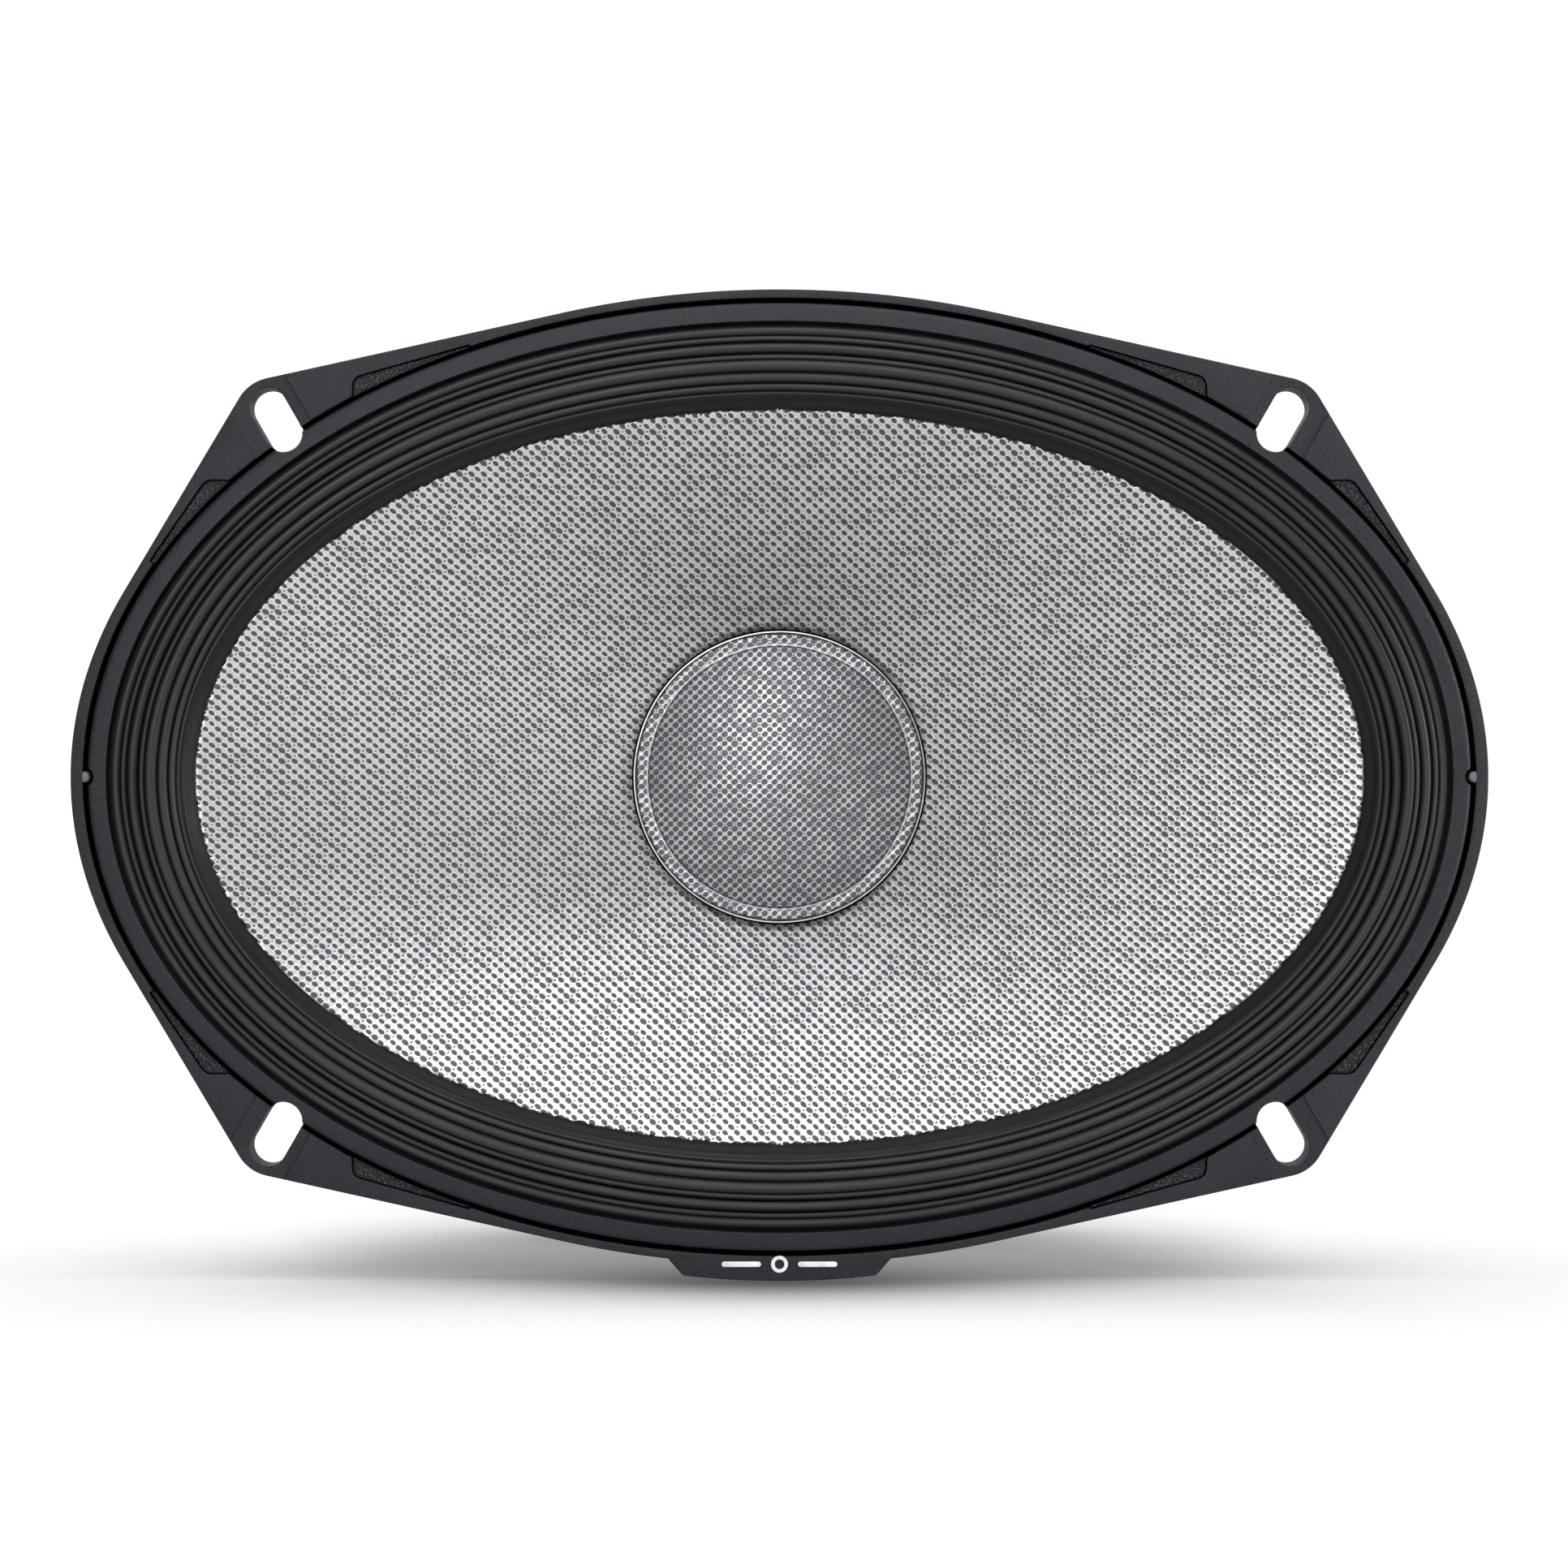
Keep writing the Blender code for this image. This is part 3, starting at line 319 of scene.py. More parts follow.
def prism(name, outline, levels):
    """A closed plate from one outline; levels are (inset, z) from back to front."""
    layers = [np.column_stack((inset(outline, shift), np.full(len(outline), z)))
              for shift, z in levels]
    count = len(outline)
    faces = grid_faces(len(layers), count, False, True)
    faces.append(list(range(count)))
    faces.append(list(range((len(layers) - 1) * count, len(layers) * count)))
    return make_mesh(name, np.stack(layers), faces)


def soft_levels(back_z, front_z, radius, steps=3):
    """Levels of a plate whose back and front edges are rounded."""
    levels = []
    for k in range(steps + 1):
        angle = 0.5 * math.pi * k / steps
        levels.append((radius * (1.0 - math.sin(angle)), back_z + radius * (1 - math.cos(angle))))
    for k in range(steps + 1):
        angle = 0.5 * math.pi * k / steps
        levels.append((radius * (1.0 - math.cos(angle)), front_z - radius * (1 - math.sin(angle))))
    return levels


def cutter_levels(floor_z, top_z, radius, steps=3):
    """Levels of a cutter that leaves a rounded edge where it meets a face at top_z."""
    levels = [(0.0, floor_z)]
    for k in range(steps + 1):
        angle = 0.5 * math.pi * k / steps
        levels.append((-radius * (1 - math.cos(angle)), top_z - radius * (1 - math.sin(angle))))
    levels.append((-radius, top_z + 3.0 * MM))
    return levels


def carve(mesh, cutters, operation="DIFFERENCE"):
    """The mesh after exact Booleans with the cutter meshes, which are used up."""
    host = bpy.data.objects.new("host", mesh)
    SCENE.collection.objects.link(host)
    helpers = []
    for cutter in cutters:
        helper = bpy.data.objects.new("cutter", cutter)
        helper.hide_render = True
        SCENE.collection.objects.link(helper)
        modifier = host.modifiers.new("cut", "BOOLEAN")
        modifier.operation = operation
        modifier.solver = "EXACT"
        modifier.object = helper
        helpers.append(helper)
    bpy.context.view_layer.update()
    depsgraph = bpy.context.evaluated_depsgraph_get()
    made = bpy.data.meshes.new_from_object(host.evaluated_get(depsgraph))
    for obj in [host] + helpers:
        data = obj.data
        bpy.data.objects.remove(obj, do_unlink=True)
        bpy.data.meshes.remove(data)
    return made


def joined(name, meshes):
    """One mesh that holds all the given ones."""
    bm = bmesh.new()
    for mesh in meshes:
        bm.from_mesh(mesh)
        bpy.data.meshes.remove(mesh)
    out = bpy.data.meshes.new(name)
    bm.to_mesh(out)
    bm.free()
    return out


def arc(centre, radius, start, end, steps):
    """Points along an arc, both ends included."""
    return [(centre[0] + radius * math.cos(start + (end - start) * i / steps),
             centre[1] + radius * math.sin(start + (end - start) * i / steps))
            for i in range(steps + 1)]


def circle(centre, radius, steps):
    """A round outline."""
    return arc(centre, radius, 0.0, 2.0 * math.pi, steps)[:-1]


def flat_ring(distance, steps=RIM_STEPS):
    """The curve parallel to the cone rim, as an outline."""
    return rim_ring(distance, 0.0, steps)[:, :2]


# ---------------------------------------------------------------- flange outlines
def flange_outline():
    """Ellipse and four lugs wrapped by tangents, with the foot tab below."""
    angle = turn(420)
    points = np.column_stack((FLANGE_HALF_WIDTH * np.cos(angle),
                              FLANGE_HALF_HEIGHT * np.sin(angle))).tolist()
    for side_x in (1, -1):
        for side_y in (1, -1):
            centre = (side_x * LUG_X, side_y * LUG_Y)
            points += circle(centre, LUG_RADIUS, 80)
    hull = [points[i] for i in convex_hull_2d([Vector(p) for p in points])]
    above = [p for p in hull if p[1] > 0.0 or abs(p[0]) > TAB_HALF_WIDTH + 1.0 * MM]
    above.sort(key=lambda p: math.atan2(p[0], -p[1]) % (2.0 * math.pi))
    return tab_outline() + above


def tab_outline():
    """The foot tab, from its left root to its right root."""
    root_y = -FLANGE_HALF_HEIGHT * math.sqrt(1.0 - (TAB_HALF_WIDTH / FLANGE_HALF_WIDTH) ** 2)
    foot = []
    steps = 8
    for i in range(steps + 1):
        share = 2.0 * i / steps - 1.0
        y = TAB_BOTTOM_Y + (TAB_CORNER_Y - TAB_BOTTOM_Y) * share * share
        foot.append((share * TAB_FOOT_HALF_WIDTH, y))
    points = [(-TAB_HALF_WIDTH, root_y)] + foot + [(TAB_HALF_WIDTH, root_y)]
    radii = [0.0, 0.5 * MM] + [0.0] * (steps - 1) + [0.5 * MM, 0.0]
    return rounded(points, radii, 3, closed=False)


def slot_outline(side_x, side_y, extra=0.0, steps=16):
    """One mounting slot, leaning outwards at its lug."""
    lean = (side_x * math.sin(SLOT_LEAN), side_y * math.cos(SLOT_LEAN))
    facing = math.atan2(lean[1], lean[0])
    reach = (SLOT_LENGTH - SLOT_WIDTH) / 2.0
    radius = SLOT_WIDTH / 2.0 + extra
    outer = (side_x * LUG_X + lean[0] * reach, side_y * LUG_Y + lean[1] * reach)
    inner = (side_x * LUG_X - lean[0] * reach, side_y * LUG_Y - lean[1] * reach)
    quarter = math.pi / 2.0
    points = arc(outer, radius, facing - quarter, facing + quarter, steps)
    return points + arc(inner, radius, facing + quarter, facing + 3.0 * quarter, steps)


def mirrored(outline, side_x, side_y):
    """An outline mirrored into a quarter, still counterclockwise."""
    points = [(side_x * x, side_y * y) for x, y in outline]
    return points if side_x * side_y > 0 else points[::-1]


def quarters():
    """The four quarters of the flange."""
    return [(sx, sy) for sx in (1, -1) for sy in (1, -1)]


def pocket_outlines():
    """Two tapering pockets beside each lug, open to the recess along one side."""
    long_pocket = rounded([(71.6, 62.9), (71.4, 66.9), (52.0, 72.35), (53.2, 71.2)],
                          [0.0, 1.2, 0.3, 0.0], 5)
    side_pocket = rounded([(104.5, 35.9), (105.5, 36.2), (96.2, 49.7), (91.9, 49.6)],
                          [0.0, 0.3, 1.2, 0.0], 5)
    made = []
    for side_x, side_y in quarters():
        for shape in (long_pocket, side_pocket):
            outline = [(x * MM, y * MM) for x, y in shape]
            area = sum(a[0] * b[1] - b[0] * a[1]
                       for a, b in zip(outline, outline[1:] + outline[:1]))
            outline = outline if area > 0 else outline[::-1]
            made.append(mirrored(outline, side_x, side_y))
    return made


def strip_outline(side_x, side_y):
    """The shallow strip that a slot lies in, across its lug."""
    along = Vector((math.sin(SLOT_LEAN), math.cos(SLOT_LEAN)))
    across = Vector((math.cos(SLOT_LEAN), -math.sin(SLOT_LEAN)))
    centre = Vector((LUG_X, LUG_Y))
    corners = [(-5.0, -12.0), (6.0, -12.0), (6.0, 20.0), (-5.0, 20.0)]
    outline = [tuple(centre + across * a * MM + along * b * MM) for a, b in corners]
    return mirrored(outline, side_x, side_y)


# ---------------------------------------------------------------- finishes
class Value:
    """A number that a node gives, so that node formulas read like plain ones."""

    def __init__(self, graph, socket):
        self.graph = graph
        self.socket = socket

    def __add__(self, other):
        return self.graph.math("ADD", self, other)

    def __sub__(self, other):
        return self.graph.math("SUBTRACT", self, other)

    def __rsub__(self, other):
        return self.graph.math("SUBTRACT", other, self)

    def __mul__(self, other):
        return self.graph.math("MULTIPLY", self, other)

    def __truediv__(self, other):
        return self.graph.math("DIVIDE", self, other)

    def __abs__(self):
        return self.graph.math("ABSOLUTE", self)


class Graph:
    """Builds nodes in one tree; numbers, colours and values mix freely."""

    def __init__(self, tree):
        self.tree = tree

    def node(self, kind, inputs=None, out=0, **settings):
        """One output of a new node."""
        node = self.tree.nodes.new(kind)
        for key, value in settings.items():
            setattr(node, key, value)
        for key, value in (inputs or {}).items():
            self.feed(node.inputs[key], value)
        return Value(self, node.outputs[out])

    def feed(self, socket, value):
        """Links a value to an input or sets a constant there."""
        if isinstance(value, Value):
            self.tree.links.new(value.socket, socket)
        elif socket.type == "RGBA" and len(value) == 3:
            socket.default_value = (*value, 1.0)
        else:
            socket.default_value = value

    def math(self, operation, a, b=0.0, c=0.0):
        return self.node("ShaderNodeMath", {0: a, 1: b, 2: c}, operation=operation)

    def parts(self, vector):
        """The x, y and z of a vector."""
        first = self.node("ShaderNodeSeparateXYZ", {0: vector})
        return [Value(self, socket) for socket in first.socket.node.outputs[:3]]

    def shown(self, seen, unseen):
        """One shader for the camera and another for all other rays."""
        camera = self.node("ShaderNodeLightPath", out="Is Camera Ray")
        return self.node("ShaderNodeMixShader", {0: camera, 1: unseen, 2: seen})


class Finish(Graph):
    """Builds one procedural material."""

    def __init__(self, name):
        self.material = bpy.data.materials.new(name)
        self.material.use_nodes = True
        super().__init__(self.material.node_tree)
        self.shader = self.tree.nodes["Principled BSDF"]
        self.place = self.node("ShaderNodeTexCoord", out="Object")

    def axes(self):
        """The place's x, y and z."""
        return self.parts(self.place)

    def length(self, a, b):
        """Length of the arrow (a, b)."""
        return self.math("SQRT", a * a + b * b)

    def offset(self, value):
        """How far a value is from the nearest whole number, -0.5 to 0.5."""
        return self.math("WRAP", value, 0.5, -0.5)

    def pair(self, u, v):
        return self.node("ShaderNodeCombineXYZ", {0: u, 1: v})

    def chance(self, u, v):
        """A random number from 0 to 1 for each pair."""
        return self.node("ShaderNodeTexWhiteNoise", {"Vector": self.pair(u, v)}, out="Value")

    def step(self, value, low, high, out_low=0.0, out_high=1.0):
        """Smooth change from out_low at low to out_high at high."""
        return self.node("ShaderNodeMapRange",
                         {"Value": value, "From Min": low, "From Max": high,
                          "To Min": out_low, "To Max": out_high},
                         interpolation_type="SMOOTHSTEP")

    def until(self, value, low, high):
        """1 below low, falling smoothly to 0 at high."""
        return self.step(value, low, high, 1.0, 0.0)

    def noise(self, size, detail=2.0, place=None, rough=0.5):
        """Noise with features of about the given size, from 0 to 1."""
        return self.node("ShaderNodeTexNoise",
                         {"Vector": place or self.place, "Scale": 1.0 / size,
                          "Detail": detail, "Roughness": rough})

    def grains(self, size):
        """Distance to the nearest of many random grains."""
        return self.node("ShaderNodeTexVoronoi", {"Vector": self.place, "Scale": 1.0 / size},
                         out="Distance")

    def stretched(self, factors):
        """The place with its axes scaled."""
        return self.node("ShaderNodeVectorMath", {0: self.place, 1: factors}, operation="MULTIPLY")

    def mix(self, share, a, b):
        """Colour a at 0, colour b at 1."""
        return self.node("ShaderNodeMix", {0: share, 6: a, 7: b}, out=2, data_type="RGBA")

    def blend(self, parts, dark, light):
        """Dark to light by a sum of (value, weight) parts."""
        (first, weight), *others = parts
        share = first * weight
        for value, weight in others:
            share = share + value * weight
        return self.mix(share, dark, light)

    def bump(self, height, depth):
        """Relief of the given depth in metres from a height between 0 and 1."""
        relief = self.node("ShaderNodeBump", {"Height": height, "Distance": depth, "Strength": 1.0})
        self.feed(self.shader.inputs["Normal"], relief)

    def done(self, colour, roughness, metallic=0.0, **more):
        more.update(Base_Color=colour, Roughness=roughness, Metallic=metallic)
        for key, value in more.items():
            self.feed(self.shader.inputs[key.replace("_", " ")], value)
        return self.material


def times(colour, factor):
    """A brighter or darker version of a colour."""
    return [factor * part for part in colour]


def moulded_black(name, dark, light, grain=0.32 * MM, depth=0.035 * MM, roughness=0.5):
    """Finely textured black plastic with pale specks and slight wear."""
    f = Finish(name)
    fine = f.step(f.noise(grain, 3.0, rough=0.65), 0.32, 0.68)
    speck = f.step(f.noise(0.5 * MM, 1.0), 0.66, 0.78)
    colour = f.blend([(fine, 0.7), (f.noise(9.0 * MM), 0.35)], dark, light)
    colour = f.mix(speck * 0.25, colour, times(light, 4.0))
    f.bump(fine + speck * 0.5, depth)
    return f.done(colour, f.step(fine, 0.3, 0.7, roughness - 0.07, roughness + 0.1),
                  Specular_IOR_Level=0.3)


def painted_wall_shade(f, x, height, z):
    """Mask of painted shade: 1 on the recess wall and the pocket walls, which are coloured near black
    where shade falls.
    """
    reach = f.length(x / (RIM_X + RECESS_OUTER), z / (RIM_Y + RECESS_OUTER))
    top = FLANGE_THICKNESS
    deep = f.until(reach, 1.008, 1.011) * f.until(height, top - 1.2 * MM, top - 0.5 * MM)
    middle = 0.5 * (POCKET_FLOOR_Z + top)
    wall = f.until(abs(height - middle), 0.24 * MM, 0.3 * MM)
    lug = f.length(abs(x) - LUG_X, abs(z) - LUG_Y)
    pockets = f.until(reach, 1.03, 1.06) * f.step(lug, 11.0 * MM, 12.0 * MM)
    return f.math("MAXIMUM", deep, wall * pockets)


def basket_finish():
    """Moulded black, with a coarser grain on the pocket floors and painted shade on the recess and
    pocket walls.
    """
    f = Finish("basket_fine_black")
    x, y, z = f.axes()
    on_floor = f.until(abs(y - (PLANE_Y - POCKET_FLOOR_Z)), 0.06 * MM, 0.1 * MM)
    fine = f.step(f.noise(0.4 * MM, 3.0, rough=0.65), 0.32, 0.68)
    grains = f.step(f.grains(0.55 * MM), 0.15, 0.6)
    colour = f.blend([(fine, 0.6), (f.noise(11.0 * MM), 0.45)],
                     (0.002, 0.003, 0.005), (0.030, 0.034, 0.041))
    pocket = f.mix(grains, (0.075, 0.082, 0.092), (0.010, 0.012, 0.015))
    colour = f.mix(on_floor, colour, pocket)
    # painted shade: near black colour and little specular on the recess and pocket walls
    shade = painted_wall_shade(f, x, PLANE_Y - y, z)
    colour = f.mix(shade, colour, (0.001, 0.001, 0.0012))
    f.bump(fine + on_floor * grains * -3.0, 0.06 * MM)
    return f.done(colour, f.step(fine, 0.3, 0.7, 0.42, 0.6),
                  Specular_IOR_Level=f.step(shade, 0.0, 1.0, 0.3, 0.03))


def rubber_finish(name):
    """Soft black rubber with a faint sheen and a little dust; painted shade darkens its valleys and its
    inner wall.
    """
    f = Finish(name)
    fine = f.noise(0.22 * MM, 3.0, rough=0.6)
    cloud = f.noise(14.0 * MM, 3.0)
    dust = f.step(f.noise(0.55 * MM), 0.68, 0.8)
    colour = f.blend([(fine, 0.4), (cloud, 0.5)], (0.007, 0.008, 0.0105), (0.022, 0.025, 0.030))
    # painted shade: the crest attribute darkens colour and specular from crest to valley
    crest = f.node("ShaderNodeAttribute", out="Fac", attribute_name="crest")
    crest = f.step(crest, 0.15, 0.95)
    colour = f.mix(crest, (0.0012, 0.0015, 0.002), colour)
    colour = f.mix(dust * 0.12, colour, (0.08, 0.085, 0.09))
    f.bump(fine, 0.018 * MM)
    return f.done(colour, f.step(cloud, 0.3, 0.7, 0.40, 0.52),
                  Sheen_Weight=0.03, Sheen_Roughness=0.4,
                  Specular_IOR_Level=crest * 0.3 + 0.1)


def lattice_axes(f, cell):
    """Thread numbers u (rising) and v (falling) at a place on woven cloth."""
    x, y, z = f.axes()
    across, up = x / cell[0], z / cell[1]
    return across + up, across - up


def gaps_between_threads(f, u, v):
    """Slim black gaps where four threads part, at a random share of the corners."""
    radius = f.length(f.offset(u + 0.5) / 0.19, f.offset(v + 0.5) / 0.075)
    luck = f.chance(f.math("FLOOR", u), f.math("FLOOR", v))
    return f.until(radius, 0.6, 1.3) * f.step(luck, 0.42, 0.85)


def weave_finish(name, cell, oval, dark, bright, rings):
    """Silver cloth: grey crowns on a bright net of threads, black gaps at some corners, painted shade
    along the seams between threads, and the given rings painted as thin lines of shade and highlight.
    """
    f = Finish(name)
    u, v = lattice_axes(f, cell)
    u = u + (f.noise(3.5 * MM) - 0.5) * 0.2
    v = v + (f.noise(4.3 * MM) - 0.5) * 0.2
    whole_u, whole_v = f.math("ROUND", u), f.math("ROUND", v)
    chance = f.chance(whole_u, whole_v)
    odd = f.math("MODULO", abs(whole_u + whole_v), 2.0)
    size = chance * 0.24 + 0.88
    radius = f.length(f.offset(u) / (size * (odd * 0.02 + oval[0])),
                      f.offset(v) / (size * (odd * -0.03 + oval[1])))
    crown = f.until(radius, 0.74, odd * 0.12 + 1.16)
    heart = f.until(radius, 0.0, 0.75)
    strand = f.math("SINE", (v + u * 0.12) * 40.0)
    streak = f.noise(0.35 * MM, place=f.pair(u * (5.0 * MM), v * (1.2 * MM)))
    # painted shade: a dark seam where neighbouring threads meet
    painted_seam_shade = f.until(abs(f.offset(u + 0.5)), 0.0, 0.2)
    shade = streak * 0.75 + (strand * 0.08 + painted_seam_shade * 0.22)
    threads = f.mix(shade, bright, times(bright, 0.34))
    crowns = f.blend([(chance, 0.45), (heart, 0.45)], dark, times(dark, 2.1))
    gap = gaps_between_threads(f, u, v)
    colour = f.mix(crown * 0.95, threads, crowns)
    colour = f.mix(gap, colour, (0.004, 0.004, 0.005))
    x, y, z = f.axes()
    # painted rings: thin lines of painted shade around the cap's edge and inside the dome's foot, and
    # one of painted highlight on the dome's foot
    for ring_radius, width, painted_line, share in rings:
        away = abs(f.length(x, z) - ring_radius)
        colour = f.mix(f.step(away, 0.3 * width, width, share, 0.0), colour, painted_line)
    f.bump(crown * 0.5 + shade * -0.5 - gap, 0.06 * MM)
    return f.done(colour, crown * 0.06 + 0.40, f.step(crown, 0.0, 1.0, 0.7, 0.35))


def cloth_finish(name, dark, light, thread=0.6 * MM):
    """Resin-dipped plain cloth."""
    f = Finish(name)
    x, y, z = f.axes()
    turns = 2.0 * math.pi / thread
    weave = (f.math("SINE", x * turns) * f.math("SINE", z * turns) + 1.0) * 0.5
    stain = f.noise(7.0 * MM, 3.0)
    f.bump(weave, 0.12 * MM)
    return f.done(f.blend([(weave, 0.45), (stain, 0.55)], dark, light),
                  f.step(stain, 0.3, 0.7, 0.6, 0.85))


def paper_finish(name):
    """The cone's back: black pressed fibre with pale flecks."""
    f = Finish(name)
    u, v = lattice_axes(f, CONE_CELL)
    waves = [f.math("COSINE", thread * (2.0 * math.pi)) for thread in (u, v)]
    relief = (waves[0] + waves[1]) * 0.25
    fibre = f.noise(0.8 * MM, 4.0, place=f.stretched((1.0, 1.0, 4.0)), rough=0.7)
    flecks = f.step(f.noise(0.5 * MM), 0.64, 0.74)
    colour = f.mix(fibre + relief * 0.5, (0.018, 0.018, 0.019), (0.06, 0.06, 0.062))
    colour = f.mix(flecks * 0.25, colour, (0.3, 0.3, 0.3))
    f.bump(fibre + relief, 0.12 * MM)
    return f.done(colour, 0.72)


def metal_finish(name, dark, light, rough=(0.25, 0.42), brush=(1.0, 1.0, 1.0), depth=0.01 * MM,
                 grain=1.6 * MM):
    """Plated or bare metal, clouded and finely scratched."""
    f = Finish(name)
    cloud = f.noise(6.0 * MM, 3.0)
    scratch = f.noise(grain, 4.0, place=f.stretched(brush), rough=0.7)
    f.bump(scratch, depth)
    return f.done(f.blend([(cloud, 0.6), (scratch, 0.4)], dark, light),
                  f.step(cloud * 0.5 + scratch * 0.5, 0.3, 0.7, *rough), 1.0)


def ferrite_finish(name):
    """Ground grey ferrite with chips and pale dust."""
    f = Finish(name)
    grain = f.noise(0.5 * MM, 4.0, rough=0.7)
    chips = f.until(f.grains(2.4 * MM), 0.0, 0.12)
    colour = f.blend([(grain, 0.5), (f.noise(12.0 * MM, 3.0), 0.5)],
                     (0.028, 0.028, 0.031), (0.075, 0.076, 0.082))
    colour = f.mix(chips * 0.5, colour, (0.015, 0.015, 0.016))
    f.bump(grain - chips, 0.06 * MM)
    return f.done(colour, f.step(grain, 0.3, 0.7, 0.45, 0.65), 0.15)


def winding_finish(name):
    """Enamelled copper wire wound in close turns, with painted shade in the grooves between turns."""
    f = Finish(name)
    x, y, z = f.axes()
    turns = f.math("SINE", y * (2.0 * math.pi / (0.32 * MM)))
    f.bump(turns, 0.08 * MM)
    # painted shade: darker in the grooves between turns, by the same wave as the relief
    return f.done(f.mix((turns + 1.0) * 0.5, (0.22, 0.07, 0.02), (0.75, 0.32, 0.12)), 0.3, 1.0)


def film_finish(name):
    """Amber former film with a pale cloud."""
    f = Finish(name)
    lines = f.noise(0.7 * MM, place=f.stretched((0.2, 3.0, 0.2)))
    colour = f.blend([(f.noise(5.0 * MM, 3.0), 0.6), (lines, 0.4)],
                     (0.26, 0.09, 0.015), (0.55, 0.24, 0.05))
    f.bump(lines, 0.02 * MM)
    return f.done(colour, 0.32, Coat_Weight=0.4)


def glue_finish(name):
    """Cured black adhesive, glossy and slightly lumpy."""
    f = Finish(name)
    lump = f.noise(2.2 * MM, 3.0)
    f.bump(lump, 0.25 * MM)
    return f.done(f.mix(lump, (0.008, 0.008, 0.009), (0.03, 0.028, 0.026)),
                  f.step(lump, 0.3, 0.7, 0.18, 0.4), Coat_Weight=0.3)


def foam_finish(name):
    """Open black foam with pores."""
    f = Finish(name)
    pores = f.grains(0.7 * MM)
    colour = f.mix(f.step(pores, 0.1, 0.6) + f.noise(8.0 * MM) * 0.3,
                   (0.006, 0.006, 0.006), (0.04, 0.041, 0.043))
    f.bump(pores, 0.25 * MM)
    return f.done(colour, 0.95, Sheen_Weight=0.2)


def print_finish(name):
    """White pad print, thin at places."""
    f = Finish(name)
    cloud = f.noise(1.2 * MM, 3.0)
    f.bump(cloud, 0.01 * MM)
    return f.done(f.mix(f.step(cloud, 0.25, 0.6), (0.72, 0.72, 0.73), (0.9, 0.9, 0.91)), 0.45)


# ---------------------------------------------------------------- basket
def make_flange(finish):
    """Slotted flange: stepped recess, pockets, slot strips and bosses, rounded edges."""
    front = FLANGE_THICKNESS
    body = prism("flange", flange_outline(), soft_levels(0.0, front, 0.35 * MM))
    bosses = joined("bosses", [prism("boss", slot_outline(sx, sy, 1.2 * MM),
                                     [(0.25 * MM, -1.0 * MM), (0.0, -0.75 * MM), (0.0, 1.8 * MM)])
                               for sx, sy in quarters()])
    body = carve(body, [bosses], "UNION")
    opening = prism("opening", flat_ring(SKIRT_OUTER - 0.8 * MM),
                    [(0.0, -5.0 * MM), (0.0, 2.0 * front)])
    recess = prism("recess", flat_ring(RECESS_OUTER),
                   cutter_levels(RECESS_FLOOR_Z, front, 0.3 * MM, 4))
    strips = joined("strips", [prism("strip", strip_outline(sx, sy),
                                     [(0.0, STRIP_FLOOR_Z), (-0.16 * MM, front + 0.02 * MM),
                                      (-0.16 * MM, 2.0 * front)]) for sx, sy in quarters()])
    pockets = joined("pockets", [prism("pocket", outline,
                                       [(0.0, POCKET_FLOOR_Z), (-0.3 * MM, front + 0.02 * MM),
                                        (-0.3 * MM, 2.0 * front)])
                                 for outline in pocket_outlines()])
    slot_levels = [(-0.25 * MM, -4.0 * MM), (-0.25 * MM, -1.0 * MM), (0.0, -0.75 * MM)]
    slot_levels += cutter_levels(0.0, STRIP_FLOOR_Z, 0.22 * MM)[1:]
    slots = joined("slots", [prism("slot", slot_outline(sx, sy), slot_levels)
                             for sx, sy in quarters()])
    mesh = carve(body, [opening, recess, strips, pockets, slots])
    return piece("basket_flange", mesh, finish, "frame", ["basket"], smooth=28.0)


def wall_ring(share, inside, steps=240):
    """A ring on the basket's sloping wall, from the skirt to the shelf."""
    if inside:
        top = rim_ring(SKIRT_INNER, BOWL_TOP_Z + 1.4 * MM, steps)
        foot = round_ring(SHELF_RADIUS, SHELF_Z + 2.8 * MM, steps)
    else:
        top = rim_ring(SKIRT_OUTER, BOWL_TOP_Z, steps)
        foot = round_ring(SHELF_RADIUS + 2.0 * MM, SHELF_Z + 1.0 * MM, steps)
    return (1.0 - share) * top + share * foot


def skirt_mesh():
    """The oval band that hangs from the flange."""
    steps = 240
    rings = [rim_ring(SKIRT_OUTER, SKIRT_TOP_Z, steps), rim_ring(SKIRT_OUTER, BOWL_TOP_Z, steps),
             wall_ring(0.1, False), wall_ring(0.1, True),
             rim_ring(SKIRT_INNER, BOWL_TOP_Z + 1.4 * MM, steps),
             rim_ring(SKIRT_INNER, SKIRT_TOP_Z, steps)]
    radii = [0.0, 2.0 * MM, 0.5 * MM, 0.5 * MM, 2.0 * MM, 0.3 * MM]
    return skin("skirt", round_rings(rings, radii, 4))


def shelf_mesh():
    """The round end of the bowl: spider shelf, step and motor seat."""
    steps = 240
    outer = SHELF_RADIUS + 2.0 * MM
    seat = SHELF_INNER + 2.5 * MM
    corners = [(outer, SHELF_Z + 1.0 * MM, 0.8), (outer, SHELF_BACK_Z, 0.9),
               (seat, SHELF_BACK_Z, 0.8), (seat, SEAT_BACK_Z, 0.9),
               (SEAT_HOLE, SEAT_BACK_Z, 0.4), (SEAT_HOLE, SEAT_FRONT_Z, 0.4),
               (SHELF_INNER, SEAT_FRONT_Z, 0.8), (SHELF_INNER, SHELF_Z, 0.5),
               (SHELF_RADIUS, SHELF_Z, 0.5)]
    rings = [wall_ring(0.955, False)] + [round_ring(r, z, steps) for r, z, _ in corners]
    rings.append(wall_ring(0.955, True))
    radii = [0.5 * MM] + [corner[2] * MM for corner in corners] + [0.5 * MM]
    return skin("shelf", round_rings(rings, radii, 3))


